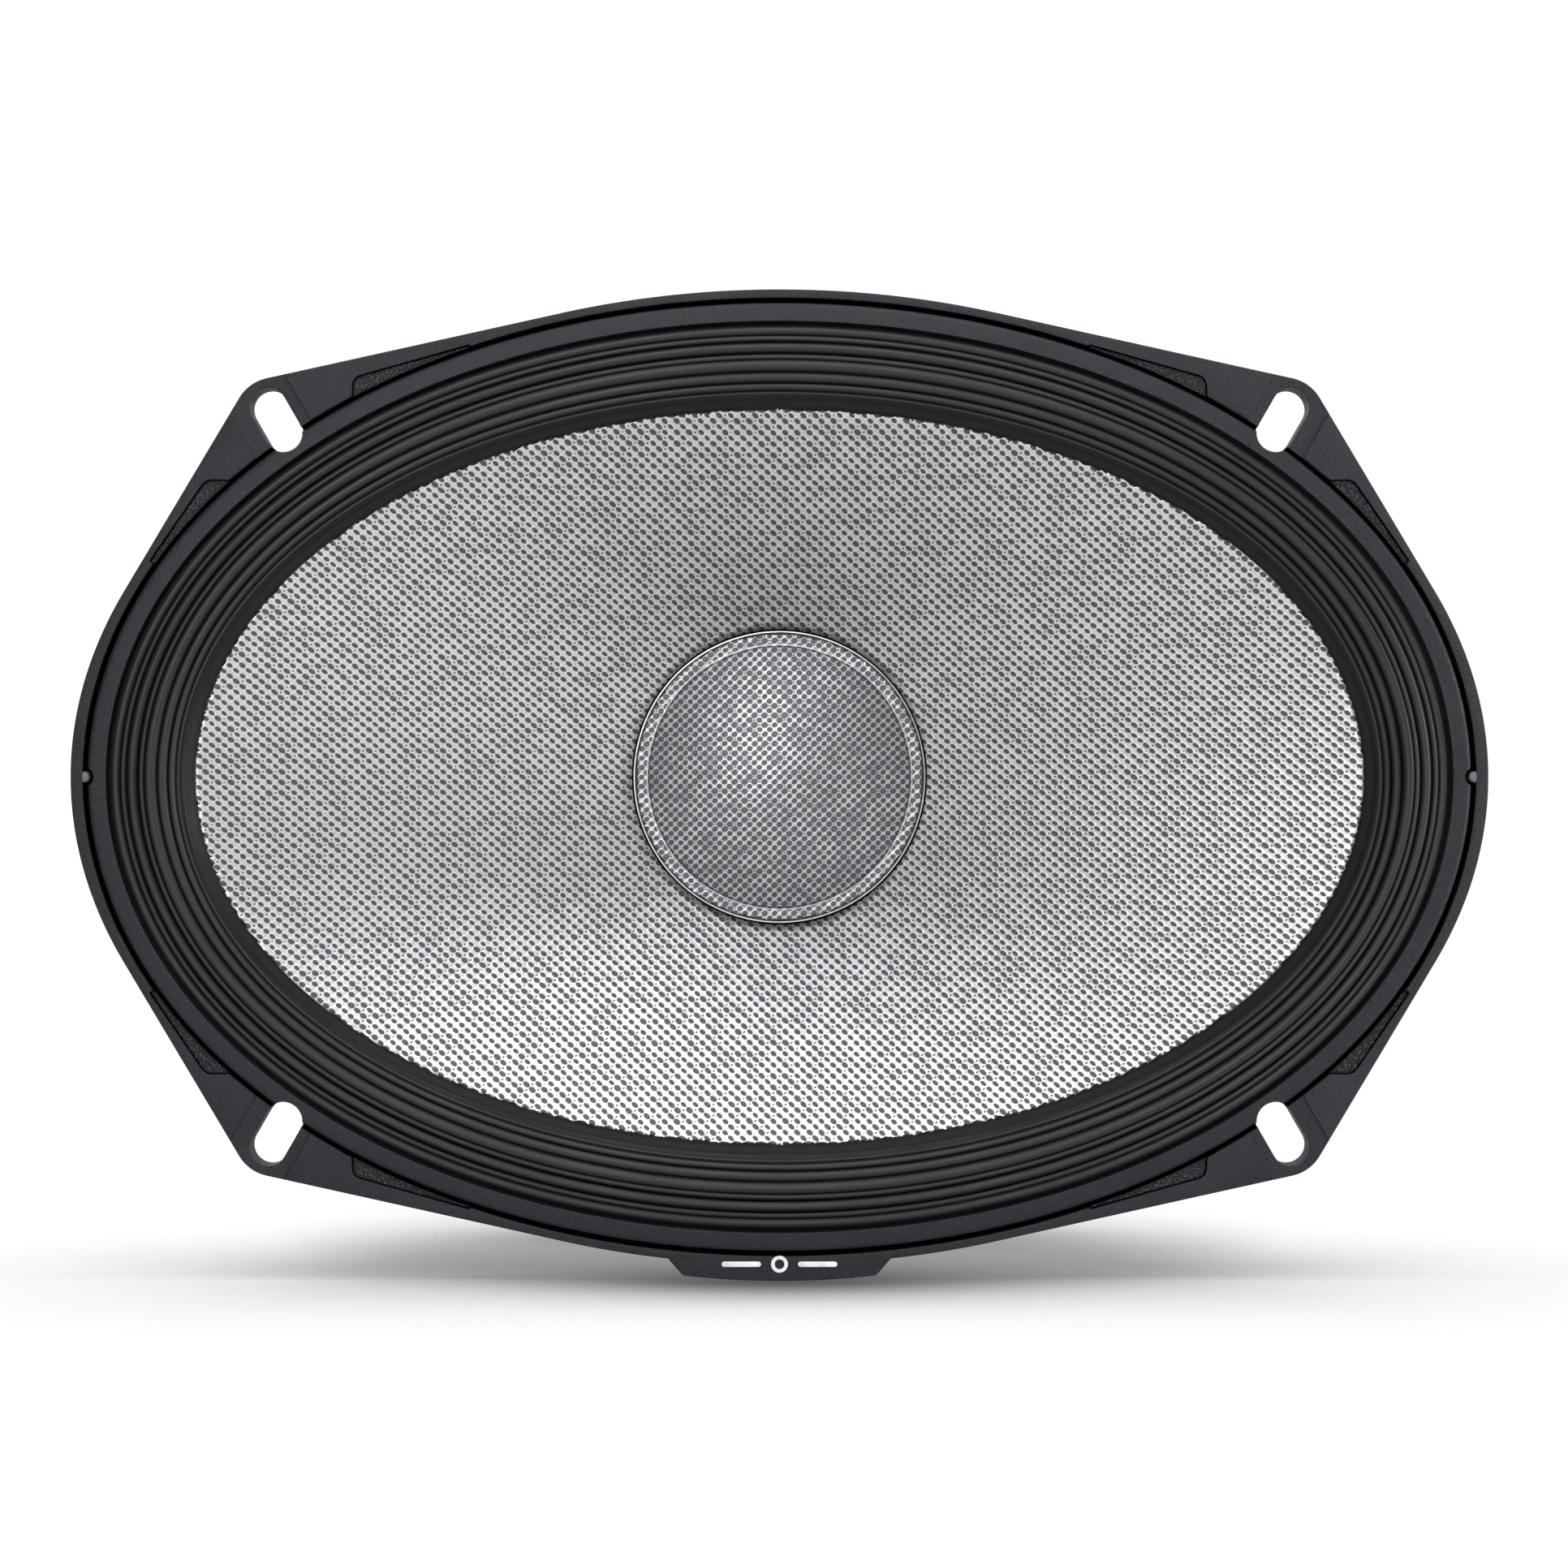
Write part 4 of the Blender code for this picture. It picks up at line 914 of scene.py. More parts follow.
def spoke_mesh(degrees):
    """One spoke: a flat bar with a rib on its back, wider at both ends."""
    angle = math.radians(degrees)
    away = np.array([math.cos(angle), math.sin(angle), 0.0])
    aside = np.array([-math.sin(angle), math.cos(angle), 0.0])
    ring = rim_ring(SKIRT_OUTER, 0.0, 1440)
    facing = np.abs(np.angle(np.exp(1j * (np.arctan2(ring[:, 1], ring[:, 0]) - angle))))
    start_radius = float(np.hypot(*ring[facing.argmin(), :2])) - 0.9 * MM
    start = start_radius * away + np.array([0.0, 0.0, BOWL_TOP_Z - 0.2 * MM])
    end = (SHELF_RADIUS + 0.8 * MM) * away + np.array([0.0, 0.0, SHELF_Z + 0.6 * MM])
    along = (end - start) / np.linalg.norm(end - start)
    outward = np.cross(aside, along)
    if outward[2] > 0.0:
        outward = -outward
    half = SPOKE_HALF_WIDTH / MM
    section = rounded([(-half, -0.9), (half, -0.9), (half, 0.8), (half - 1.0, 1.1), (1.9, 1.1),
                       (1.3, 3.0), (-1.3, 3.0), (-1.9, 1.1), (1.0 - half, 1.1), (-half, 0.8)],
                      [0.4, 0.4, 0.4, 0.4, 0.9, 0.6, 0.6, 0.9, 0.4, 0.4], 3)
    rows = []
    steps = 28
    for k in range(steps + 1):
        share = k / steps
        spread = 1.0 + 0.30 * abs(2.0 * share - 1.0) ** 5
        rib = 1.0 - 0.75 * abs(2.0 * share - 1.0) ** 6
        centre = start + (end - start) * share
        rows.append([centre + aside * a * MM * spread
                     + outward * (b if b < 1.2 else 1.1 + (b - 1.1) * rib) * MM
                     for a, b in section])
    count = len(section)
    faces = grid_faces(steps + 1, count, False, True)
    faces.append(list(range(count)))
    faces.append(list(range(steps * count, (steps + 1) * count)))
    return make_mesh("spoke", rows, faces)


def ear_mesh():
    """The ear below the shelf that carries the terminal board, with two ribs."""
    root_y = -SHELF_INNER - 2.0 * MM
    outline = rounded([(-EAR_HALF_WIDTH, root_y), (-EAR_HALF_WIDTH, EAR_TIP_Y),
                       (EAR_HALF_WIDTH, EAR_TIP_Y), (EAR_HALF_WIDTH, root_y)],
                      [0.0, 2.5 * MM, 2.5 * MM, 0.0], 6)
    back = SHELF_BACK_Z + 0.3 * MM
    plate = prism("ear", outline, soft_levels(back, SHELF_Z - 0.2 * MM, 0.35 * MM))
    ribs = []
    for side in (-1.0, 1.0):
        x = side * (EAR_HALF_WIDTH - 1.6 * MM)
        ribs.append(prism("rib", rounded([(x - 0.8 * MM, root_y), (x - 0.8 * MM, EAR_TIP_Y + 2 * MM),
                                          (x + 0.8 * MM, EAR_TIP_Y + 2 * MM),
                                          (x + 0.8 * MM, root_y)], 0.3 * MM, 3),
                          soft_levels(back - 1.4 * MM, back + 0.5 * MM, 0.3 * MM)))
    return joined("ear", [plate] + ribs)


def make_bowl(finish):
    """Skirt, seven spokes, shelf with the motor seat, and the terminal ear."""
    parts = [skirt_mesh(), shelf_mesh(), ear_mesh()]
    parts += [spoke_mesh(degrees) for degrees in SPOKE_ANGLES]
    return piece("basket_bowl", joined("bowl", parts), finish, "frame", ["basket"])


def make_pegs(finish):
    """The two small pegs that place the ring, half sunk in the flange's lip."""
    profile = [(0.0, 5.95), (0.62, 5.93), (0.84, 5.83), (0.92, 5.6), (0.92, 3.4), (0.0, 3.4)]
    for name, x in (("ring_peg_right", PEG_X), ("ring_peg_left", -PEG_X)):
        mesh = turned(name, [(r * MM, z * MM) for r, z in profile], 32, False, (x, 0.0))
        piece(name, mesh, finish, "frame")


def make_ring(finish):
    """Clamp ring: top sloping outwards, notched for the pegs and the slots."""
    bottom = RECESS_FLOOR_Z + 0.3 * MM
    step = FOOT_TOP_Z + 0.3 * MM
    foot = SURROUND_FOOT + 0.3 * MM
    corners = [(SURROUND_OUTER, RING_TOP_Z, 0.14), (RING_OUTER - 0.5 * MM, RING_TOP_Z - 0.3 * MM, 0.4),
               (RING_OUTER, RING_TOP_Z - 0.75 * MM, 0.3), (RING_OUTER, bottom, 0.1),
               (foot, bottom, 0.1), (foot, step, 0.0), (SURROUND_OUTER, step, 0.0)]
    rings = [rim_ring(distance, z) for distance, z, _ in corners]
    mesh = skin("clamp_ring_fine", round_rings(rings, [c[2] * MM for c in corners], 4))
    notches = joined("notches", [
        prism("notch", circle((x, 0.0), NOTCH_RADIUS, 40),
              [(0.0, 0.0), (0.0, 6.3 * MM), (-0.2 * MM, 6.7 * MM), (-0.2 * MM, 9.0 * MM)])
        for x in (PEG_X, -PEG_X)])
    levels = [(0.0, 0.0), (0.0, 6.0 * MM), (-0.25 * MM, 6.6 * MM), (-0.25 * MM, 9.0 * MM)]
    slots = joined("ring_slots", [prism("slot", slot_outline(sx, sy, 0.12 * MM), levels)
                                  for sx, sy in quarters()])
    mesh = carve(mesh, [notches, slots])
    return piece("clamp_ring_fine", mesh, finish, "frame", ["clamp_ring"], smooth=30.0)


def capsule(length, width, centre, steps=8):
    """The outline of a short dash with round ends."""
    x, y = centre
    half = (length - width) / 2.0
    quarter = math.pi / 2.0
    return (arc((x + half, y), width / 2.0, -quarter, quarter, steps)
            + arc((x - half, y), width / 2.0, quarter, 3.0 * quarter, steps))


def make_tab_mark(finish):
    """A plain printed mark on the tab: a small ring between two dashes."""
    y = -81.75 * MM
    back, front = FLANGE_THICKNESS - 0.05 * MM, FLANGE_THICKNESS + 0.05 * MM
    parts = [prism("dash", capsule(6.6 * MM, 0.9 * MM, (x, y)), soft_levels(back, front, 0.03 * MM, 2))
             for x in (-6.4 * MM, 6.4 * MM)]
    rings = [round_ring(radius, z, 64) + (0.0, y, 0.0)
             for radius, z in ((1.42 * MM, back), (1.42 * MM, front),
                               (0.82 * MM, front), (0.82 * MM, back))]
    parts.append(skin("ring", round_rings(rings, 0.03 * MM, 1)))
    piece("tab_mark", joined("tab_mark", parts), finish, "frame")


def make_gasket(finish):
    """Foam strip behind the flange, slightly uneven."""
    back = -2.3 * MM
    corners = [(GASKET_INNER, -0.05 * MM, 0.1), (GASKET_INNER, back, 0.5),
               (GASKET_OUTER, back, 0.5), (GASKET_OUTER, -0.05 * MM, 0.1)]
    rings = round_rings([rim_ring(d, z) for d, z, _ in corners], [c[2] * MM for c in corners], 4)
    angle = turn(RIM_STEPS)
    wave = 0.07 * MM * (np.sin(23 * angle) + np.sin(41 * angle + 1.0))
    for ring in rings:
        ring[:, 2] += wave * ease(-ring[:, 2], 0.5 * MM, 2.0 * MM)
    piece("rear_gasket_foam", skin("gasket", rings), finish, "frame", ["rear_gasket"])


# ---------------------------------------------------------------- suspension
def surround_top():
    """(distance inside the ring, height, crest) down the surround's front.

    The last number is 0 in a valley and 1 on a crest; the finish paints shade into the valleys by it.
    """
    knots = [(0.25, 4.9), (1.45, 6.4), (2.35, 6.12), (2.9, 6.55), (3.5, 6.05), (4.3, 7.1),
             (5.5, 6.45), (6.0, 7.25), (6.5, 7.02), (7.4, 7.4), (8.6, 6.6), (9.4, 6.85),
             (10.35, 6.1), (10.95, 6.35), (11.65, 5.5), (12.15, 5.45)]
    points = []
    for k, (start, end) in enumerate(zip(knots, knots[1:])):
        rising = k % 2 == 0
        steps = max(3, round((end[0] - start[0]) / 0.13))
        for i in range(steps):
            t = i / steps
            lift = math.sin(0.5 * math.pi * (t if rising else 1.0 - t)) ** 0.9
            valley, crest = (start[1], end[1]) if rising else (end[1], start[1])
            points.append((start[0] + (end[0] - start[0]) * t,
                           valley + (crest - valley) * lift, lift))
    slope = rounded([knots[-1], (13.0, 4.9), (13.95, 2.35), (14.25, 1.95)], 0.9, 5, closed=False)
    return points + [(inside, z, 0.45) for inside, z in slope]


def make_surround(finish):
    """Rubber surround: glued foot, fine rolls, steep inner wall over the cone's rim."""
    under = CONE_WALL + 0.3 * MM
    rings = [rim_ring(SURROUND_FOOT, FOOT_TOP_Z)]
    weights = [0.0]
    crests = [0.0]

    def weigh(inside):
        return float(ease(inside, 0.5 * MM, 13.2 * MM))

    for inside, z, crest in surround_top():
        rings.append(rim_ring(SURROUND_OUTER - inside * MM, z * MM))
        weights.append(weigh(inside * MM))
        crests.append(crest)
    rings += [rim_ring(0.02 * MM, 1.76 * MM), rim_ring(0.8 * MM, 1.7 * MM),
              rim_ring(0.8 * MM, RIM_Z - under), cone_ring(0.06, under),
              cone_ring(0.06, under + 0.9 * MM), rim_ring(1.2 * MM, RIM_Z - under - 1.0 * MM)]
    weights += [1.0] * 6
    below = rounded([(1.2, -0.9), (3.0, 2.6), (4.4, 4.7), (7.3, 5.6), (10.3, 5.3), (12.4, 4.1),
                     (13.4, 3.9), (15.3, 3.9)], 1.5, 4, closed=False)[1:]
    for distance, z in below:
        rings.append(rim_ring(distance * MM, z * MM))
        weights.append(weigh(SURROUND_OUTER - distance * MM))
    mesh = skin("surround_fine", rings)
    # the inner wall and the underside get a middle value, so the finish paints them partly shaded
    crests += [0.45] * (len(rings) - len(crests))
    attribute = mesh.attributes.new("crest", "FLOAT", "POINT")
    attribute.data.foreach_set("value", np.repeat(crests, RIM_STEPS))
    obj = piece("surround_fine", mesh, finish, None, ["surround"], smooth=50.0)
    blended(obj)


def make_spider(finish):
    """Corrugated centring disc of dipped cloth."""
    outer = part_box("spider")[1].x
    inner = NECK_RADIUS - 0.05 * MM
    foot_z = SHELF_Z + 1.1 * MM
    middle_z = foot_z + 1.2 * MM
    start, end = inner + 2.0 * MM, SHELF_INNER + 0.4 * MM
    top = [(inner, middle_z + 1.6 * MM), (inner + 0.8 * MM, middle_z + 1.5 * MM)]
    waves = 4
    steps = 12 * waves
    for k in range(steps + 1):
        share = k / steps
        wave = 1.3 * MM * math.cos(2.0 * math.pi * waves * share)
        top.append((start + (end - start) * share, middle_z + wave + (foot_z - middle_z) * share))
    top += [(end + 1.0 * MM, foot_z), (outer, foot_z)]
    rings = [round_ring(radius, z, 200) for radius, z in top]
    rings += [round_ring(radius, z - 0.8 * MM, 200) for radius, z in reversed(top)]
    weights = [1.0 - float(ease(radius, start, end)) for radius, _ in top]
    weights += weights[::-1]
    obj = piece("spider_cloth", skin("spider", rings), finish, None, ["spider"], smooth=60.0)
    blended(obj)


def tube(path, radius, sides=8):
    """Points of a tube around a path, ring by ring."""
    path = np.asarray(path)
    tangent = np.gradient(path, axis=0)
    tangent /= np.linalg.norm(tangent, axis=1, keepdims=True)
    first = np.cross(tangent, (0.0, 0.0, 1.0))
    first /= np.linalg.norm(first, axis=1, keepdims=True)
    second = np.cross(tangent, first)
    angle = turn(sides)[None, :, None]
    ring = np.cos(angle) * first[:, None] + np.sin(angle) * second[:, None]
    return path[:, None] + radius * ring


def make_lead(name, terminal, joint, finish):
    """Two twisted braids hanging in a slack bow from the terminal to the cone."""
    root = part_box(terminal)
    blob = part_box(joint)
    x = 0.5 * (root[0].x + root[1].x)
    side = math.copysign(1.0, x)
    z = PLANE_Y - 0.5 * (root[0].y + root[1].y)
    start = np.array([x, root[1].z + 0.3 * MM, z])
    middle = 0.5 * (blob[0] + blob[1])
    end = np.array([middle.x, middle.z, PLANE_Y - middle.y])
    end = end + np.array([0.0, -0.5, -0.87]) * 2.0 * MM
    count = 90
    share = np.linspace(0.0, 1.0, count)
    bow = 4.0 * (share * (1.0 - share))[:, None] * np.array([side * 1.2, 0.0, -2.2]) * MM
    path = start + (end - start) * share[:, None] + bow
    frames = tube(path, 1.0)
    across, up = frames[:, 0] - path, frames[:, 2] - path
    points, faces, weights = [], [], []
    sides = 8
    for strand in range(2):
        phase = strand * math.pi + share * 2.0 * math.pi * 9.0
        centre = path + 0.3 * MM * (np.cos(phase)[:, None] * across + np.sin(phase)[:, None] * up)
        base = strand * count * sides
        points.append(tube(centre, 0.32 * MM, sides))
        faces += grid_faces(count, sides, False, True, base)
        faces.append(list(range(base, base + sides)))
        faces.append(list(range(base + (count - 1) * sides, base + count * sides)))
        weights.append(np.repeat(ease(share, 0.08, 0.95), sides))
    mesh = make_mesh(name, np.concatenate(points), faces)
    obj = piece(name + "_braid", mesh, finish, None, [name], smooth=60.0)
    blended(obj)


# ---------------------------------------------------------------- cone and cap
def lattice(cell, inside):
    """Half-thread points inside a region, their quads and their boundary loops."""
    reach = int(2.2 * (RIM_X / cell[0] + RIM_Y / cell[1]))
    number = np.arange(-reach, reach + 1)
    i, j = np.meshgrid(number, number, indexing="ij")
    x = cell[0] * (i + j) / 4.0
    y = cell[1] * (i - j) / 4.0
    keep = inside(x, y)
    full = keep[:-1, :-1] & keep[1:, :-1] & keep[1:, 1:] & keep[:-1, 1:]
    used = np.zeros(keep.shape, bool)
    for di in (0, 1):
        for dj in (0, 1):
            used[di:di + full.shape[0], dj:dj + full.shape[1]] |= full
    index = np.full(keep.shape, -1)
    index[used] = np.arange(used.sum())
    quads = np.stack((index[:-1, :-1], index[1:, :-1], index[1:, 1:], index[:-1, 1:]), -1)[full]
    edges = np.concatenate([quads[:, [k, (k + 1) % 4]] for k in range(4)])
    known = {tuple(edge) for edge in edges.tolist()}
    follow = {a: b for a, b in known if (b, a) not in known}
    loops = []
    while follow:
        first = next(iter(sorted(follow)))
        loop = [first]
        while loop[-1] in follow:
            loop.append(follow.pop(loop[-1]))
        loops.append(loop[:-1])
    return x[used], y[used], i[used] / 2.0, j[used] / 2.0, quads.tolist(), loops


def stitch(points, loop_a, loop_b):
    """Triangles between two closed loops around the axis with any point counts."""
    def ordered(loop):
        angle = np.unwrap(np.arctan2(points[loop, 1], points[loop, 0]))
        if angle[-1] < angle[0]:
            loop, angle = loop[::-1], angle[::-1]
        start = int(np.argmin(np.abs(np.angle(np.exp(1j * angle)))))
        loop = np.roll(loop, -start)
        angle = np.unwrap(np.arctan2(points[loop, 1], points[loop, 0]))
        return list(loop) + [loop[0]], list(angle) + [angle[0] + 2.0 * math.pi]

    loop_a, angle_a = ordered(np.array(loop_a))
    loop_b, angle_b = ordered(np.array(loop_b))
    faces, a, b = [], 0, 0
    while a < len(loop_a) - 1 or b < len(loop_b) - 1:
        more_a, more_b = a < len(loop_a) - 1, b < len(loop_b) - 1
        if more_a and (not more_b or angle_a[a + 1] <= angle_b[b + 1]):
            faces.append((int(loop_a[a]), int(loop_a[a + 1]), int(loop_b[b])))
            a += 1
        else:
            faces.append((int(loop_a[a]), int(loop_b[b + 1]), int(loop_b[b])))
            b += 1
    return faces


def cone_share(x, y):
    """How far a place is from the rim (0) to the cap seat (1)."""
    low = np.full(np.shape(x), -0.2)
    high = np.full(np.shape(x), 1.3)
    for _ in range(36):
        share = 0.5 * (low + high)
        half_x = RIM_X * (1.0 - share) + SEAT_RADIUS * share
        half_y = RIM_Y * (1.0 - share) + SEAT_RADIUS * share
        outside = (x / half_x) ** 2 + (y / half_y) ** 2 > 1.0
        high = np.where(outside, share, high)
        low = np.where(outside, low, share)
    return 0.5 * (low + high)


def thread_relief(u, v, depth):
    """Crowns at every crossing of whole thread numbers."""
    return depth * 0.5 * (np.cos(2.0 * math.pi * u) + np.cos(2.0 * math.pi * v))


def sheet_with_back(name, front, quads, loops, rings):
    """A closed body from a lattice front, stitched to rings that run round its back."""
    points = [front] + rings
    base = len(front)
    steps = len(rings[0])
    faces = list(quads)
    faces += grid_faces(len(rings), steps, False, True, base)
    everything = np.concatenate(points)
    outer_ring = list(range(base, base + steps))
    radius = [np.hypot(everything[loop, 0], everything[loop, 1]).mean() for loop in loops]
    faces += stitch(everything, loops[int(np.argmax(radius))], outer_ring)
    last = list(range(base + (len(rings) - 1) * steps, base + len(rings) * steps))
    if len(loops) > 1:
        faces += stitch(everything, loops[int(np.argmin(radius))], last)
    else:
        faces.append(last)
    mesh = make_mesh(name, everything, faces)
    return mesh, len(quads)


def front_and_back(obj, mesh, front_faces):
    """The lattice front takes the first finish and everything else the second."""
    index = np.ones(len(mesh.polygons), np.int32)
    index[:front_faces] = 0
    mesh.polygons.foreach_set("material_index", index)
    mesh.shade_smooth()
    modifier = obj.modifiers.new("smooth", "SUBSURF")
    modifier.levels = 1
    modifier.render_levels = 1


def make_cone(weave, back):
    """Woven cone in relief, with a plain fibre back and the neck."""
    inner_edge = CAP_RADIUS - 1.2 * MM

    def inside(x, y):
        return (cone_share(x, y) > -0.008) & (np.hypot(x, y) > inner_edge)

    x, y, u, v, quads, loops = lattice(CONE_CELL, inside)
    share = cone_share(x, y)
    z = RIM_Z - cone_depth(np.maximum(share, 0.0))
    z += thread_relief(u, v, 0.085 * MM) * ease(share, -0.004, 0.01)
    z -= 0.35 * MM * ease(-share, 0.0, 0.008)
    steps = 240
    wall = CONE_WALL - 0.1 * MM
    rings = [rim_ring(0.35 * MM, RIM_Z - 0.75 * MM, steps), rim_ring(0.2 * MM, RIM_Z - wall, steps)]
    rings += [cone_ring(k / 12.0, wall, steps) for k in range(1, 13)]
    for radius, drop in ((22.8, 2.4), (21.0, 3.9), (19.9, 5.0), (19.75, 6.0), (19.4, 6.1),
                         (19.4, 5.2), (20.6, 3.9), (22.8, 1.2), (24.2, 0.35)):
        rings.append(round_ring(radius * MM, SEAT_Z - drop * MM, steps))
    mesh, front = sheet_with_back("cone_weave", np.column_stack((x, y, z)), quads, loops, rings)
    obj = piece("cone_weave", mesh, [weave, back], "cone_assembly", ["cone"])
    front_and_back(obj, mesh, front)


def make_cap(weave, back, edge):
    """Woven dust cap: shallow dome, flat rim and its bright cut edge."""
    rim_z = SEAT_Z + 0.9 * MM
    dome = CAP_RADIUS - CAP_RIM_WIDTH
    ball = (dome ** 2 + CAP_HEIGHT ** 2) / (2.0 * CAP_HEIGHT)
    edge_in = CAP_RADIUS - 0.2 * MM

    def inside(x, y):
        return np.hypot(x, y) < edge_in

    x, y, u, v, quads, loops = lattice(CAP_CELL, inside)
    radius = np.hypot(x, y)
    rise = np.sqrt(ball ** 2 - np.minimum(radius, dome) ** 2) - (ball - CAP_HEIGHT)
    z = rim_z + rise + thread_relief(u, v, 0.06 * MM)
    z -= 0.18 * MM * (ease(radius, dome - 0.5 * MM, dome) - ease(radius, dome, dome + 0.5 * MM))
    steps = 160
    rings = [round_ring(edge_in, rim_z - 0.3 * MM, steps),
             round_ring(edge_in, rim_z - CAP_WALL, steps),
             round_ring(dome - 0.3 * MM, rim_z - CAP_WALL, steps)]
    inner_ball = ball - CAP_WALL
    for k in range(9, 0, -1):
        r = (dome - 0.6 * MM) * k / 10.0
        height = math.sqrt(inner_ball ** 2 - r ** 2) - (ball - CAP_HEIGHT)
        rings.append(round_ring(r, rim_z + height, steps))
    mesh, front = sheet_with_back("dust_cap_weave", np.column_stack((x, y, z)), quads, loops, rings)
    obj = piece("dust_cap_weave", mesh, [weave, back], "cone_assembly", ["dust_cap"])
    front_and_back(obj, mesh, front)
    corners = [(CAP_RADIUS - 0.24 * MM, rim_z + 0.12 * MM), (CAP_RADIUS - 0.02 * MM, rim_z + 0.08 * MM),
               (CAP_RADIUS, rim_z - 0.5 * MM), (CAP_RADIUS - 0.28 * MM, rim_z - 0.5 * MM)]
    rings = round_rings([round_ring(r, z, 240) for r, z in corners], 0.08 * MM, 3)
    piece("dust_cap_edge", skin("edge", rings), edge, "cone_assembly")


# ---------------------------------------------------------------- motor
def make_boot(finish):
    """Rubber boot over the magnet: beads, grooves and a stepped back."""
    back = MOTOR_BACK_Z
    inner = BOOT_RADIUS - 2.3 * MM
    side = BOOT_RADIUS
    corners = [(0.0, back + 0.5 * MM, 0), (26.0 * MM, back + 0.5 * MM, 0.3),
               (26.8 * MM, back, 0.3), (43.0 * MM, back, 0.3), (43.5 * MM, back + 0.6 * MM, 0.2),
               (45.0 * MM, back + 0.6 * MM, 0.2), (45.5 * MM, back, 0.3),
               (side - 0.35 * MM, back, 4.2), (side - 0.35 * MM, back + 9.0 * MM, 0.3),
               (side - 1.0 * MM, back + 9.4 * MM, 0.2), (side - 1.0 * MM, back + 10.4 * MM, 0.2),
               (side - 0.35 * MM, back + 10.8 * MM, 0.3),
               (side - 0.35 * MM, BOOT_FRONT_Z - 4.2 * MM, 0.4),
               (side, BOOT_FRONT_Z - 3.6 * MM, 0.5), (side, BOOT_FRONT_Z, 1.1),
               (inner, BOOT_FRONT_Z, 0.6), (inner, back + 3.4 * MM, 1.2),
               (inner - 2.0 * MM, back + 1.6 * MM, 1.0), (0.0, back + 1.6 * MM, 0)]
    radii = [corner[2] * MM for corner in corners]
    profile = rounded([corner[:2] for corner in corners], radii, 5, closed=False)
    piece("magnet_boot_rubber", turned("boot", profile, 192, False), finish, "frame",
          ["magnet_boot"])


def make_terminal(name, node, finish):
    """Push-on blade with a chamfered nose, a locking hole and a riveted root."""
    low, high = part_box(node)
    x = 0.5 * (low.x + high.x)
    root_half = 0.5 * (high.x - low.x)
    half = root_half - 0.7 * MM
    inner_y, tip_y = high.z, low.z
    back, front = PLANE_Y - high.y, PLANE_Y - low.y
    shoulder_y = -65.5 * MM
    outline = [(x - root_half, inner_y), (x - root_half, shoulder_y), (x - half, shoulder_y - 0.7 * MM),
               (x - half, tip_y + 1.4 * MM), (x - half + 1.1 * MM, tip_y),
               (x + half - 1.1 * MM, tip_y), (x + half, tip_y + 1.4 * MM),
               (x + half, shoulder_y - 0.7 * MM), (x + root_half, shoulder_y),
               (x + root_half, inner_y)]
    outline = rounded(outline, 0.35 * MM, 3)
    blade = prism(name, outline, soft_levels(back, front, 0.12 * MM, 2))
    hole = prism("hole", circle((x, tip_y + 3.0 * MM), 0.75 * MM, 28),
                 [(-0.1 * MM, back - 0.5 * MM), (-0.1 * MM, back), (0.0, back + 0.12 * MM),
                  (0.0, front - 0.12 * MM), (-0.1 * MM, front), (-0.1 * MM, front + 0.5 * MM)])
    piece(name, carve(blade, [hole]), finish, "frame", [node], smooth=30.0)


def make_board(finish):
    """Terminal board with a dividing rib and raised plus and minus signs."""
    low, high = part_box("terminal_board")
    back, front = PLANE_Y - high.y, PLANE_Y - low.y

    def bar(x, y, half_x, half_y, bottom, top, radius):
        outline = rounded([(x - half_x, y - half_y), (x + half_x, y - half_y),
                           (x + half_x, y + half_y), (x - half_x, y + half_y)], radius, 4)
        return prism("bar", outline, soft_levels(bottom, top, 0.15 * MM))

    y = 0.5 * (low.z + high.z)
    parts = [bar(0.0, y, high.x, 0.5 * (high.z - low.z), back, front, 1.0 * MM),
             bar(0.0, y, 0.6 * MM, 4.2 * MM, front - 0.5 * MM, front + 1.3 * MM, 0.4 * MM)]
    sign_y = low.z + 2.6 * MM
    for x, upright in ((3.2 * MM, True), (-3.2 * MM, False)):
        parts.append(bar(x, sign_y, 1.1 * MM, 0.22 * MM, front - 0.3 * MM, front + 0.3 * MM, 0.1 * MM))
        if upright:
            parts.append(bar(x, sign_y, 0.22 * MM, 1.1 * MM, front - 0.3 * MM, front + 0.3 * MM,
                             0.1 * MM))
    piece("terminal_board_fine", joined("board", parts), finish, "frame", ["terminal_board"])


def make_rivet(number, finish):
    """Tubular rivet with a rolled head and a clinched tail."""
    node = f"terminal_rivet_{number}"
    low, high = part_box(node)
    x = 0.5 * (low.x + high.x)
    top, tail = PLANE_Y - low.y, PLANE_Y - high.y
    profile = [(0.0, top - 0.35 * MM), (0.75 * MM, top - 0.35 * MM), (0.95 * MM, top - 0.1 * MM),
               (1.35 * MM, top), (1.95 * MM, top - 0.25 * MM), (2.2 * MM, top - 0.8 * MM),
               (1.5 * MM, top - 0.88 * MM), (1.5 * MM, tail + 0.9 * MM),
               (2.3 * MM, tail + 0.85 * MM), (2.1 * MM, tail + 0.3 * MM), (1.5 * MM, tail),
               (1.0 * MM, tail + 0.15 * MM), (0.7 * MM, tail + 0.7 * MM), (0.0, tail + 0.7 * MM)]
    profile = rounded(profile, 0.15 * MM, 2, closed=False)
    mesh = turned(node + "_fine", profile, 40, False, (x, RIVET_Y))
    piece(node + "_fine", mesh, finish, "frame", [node])


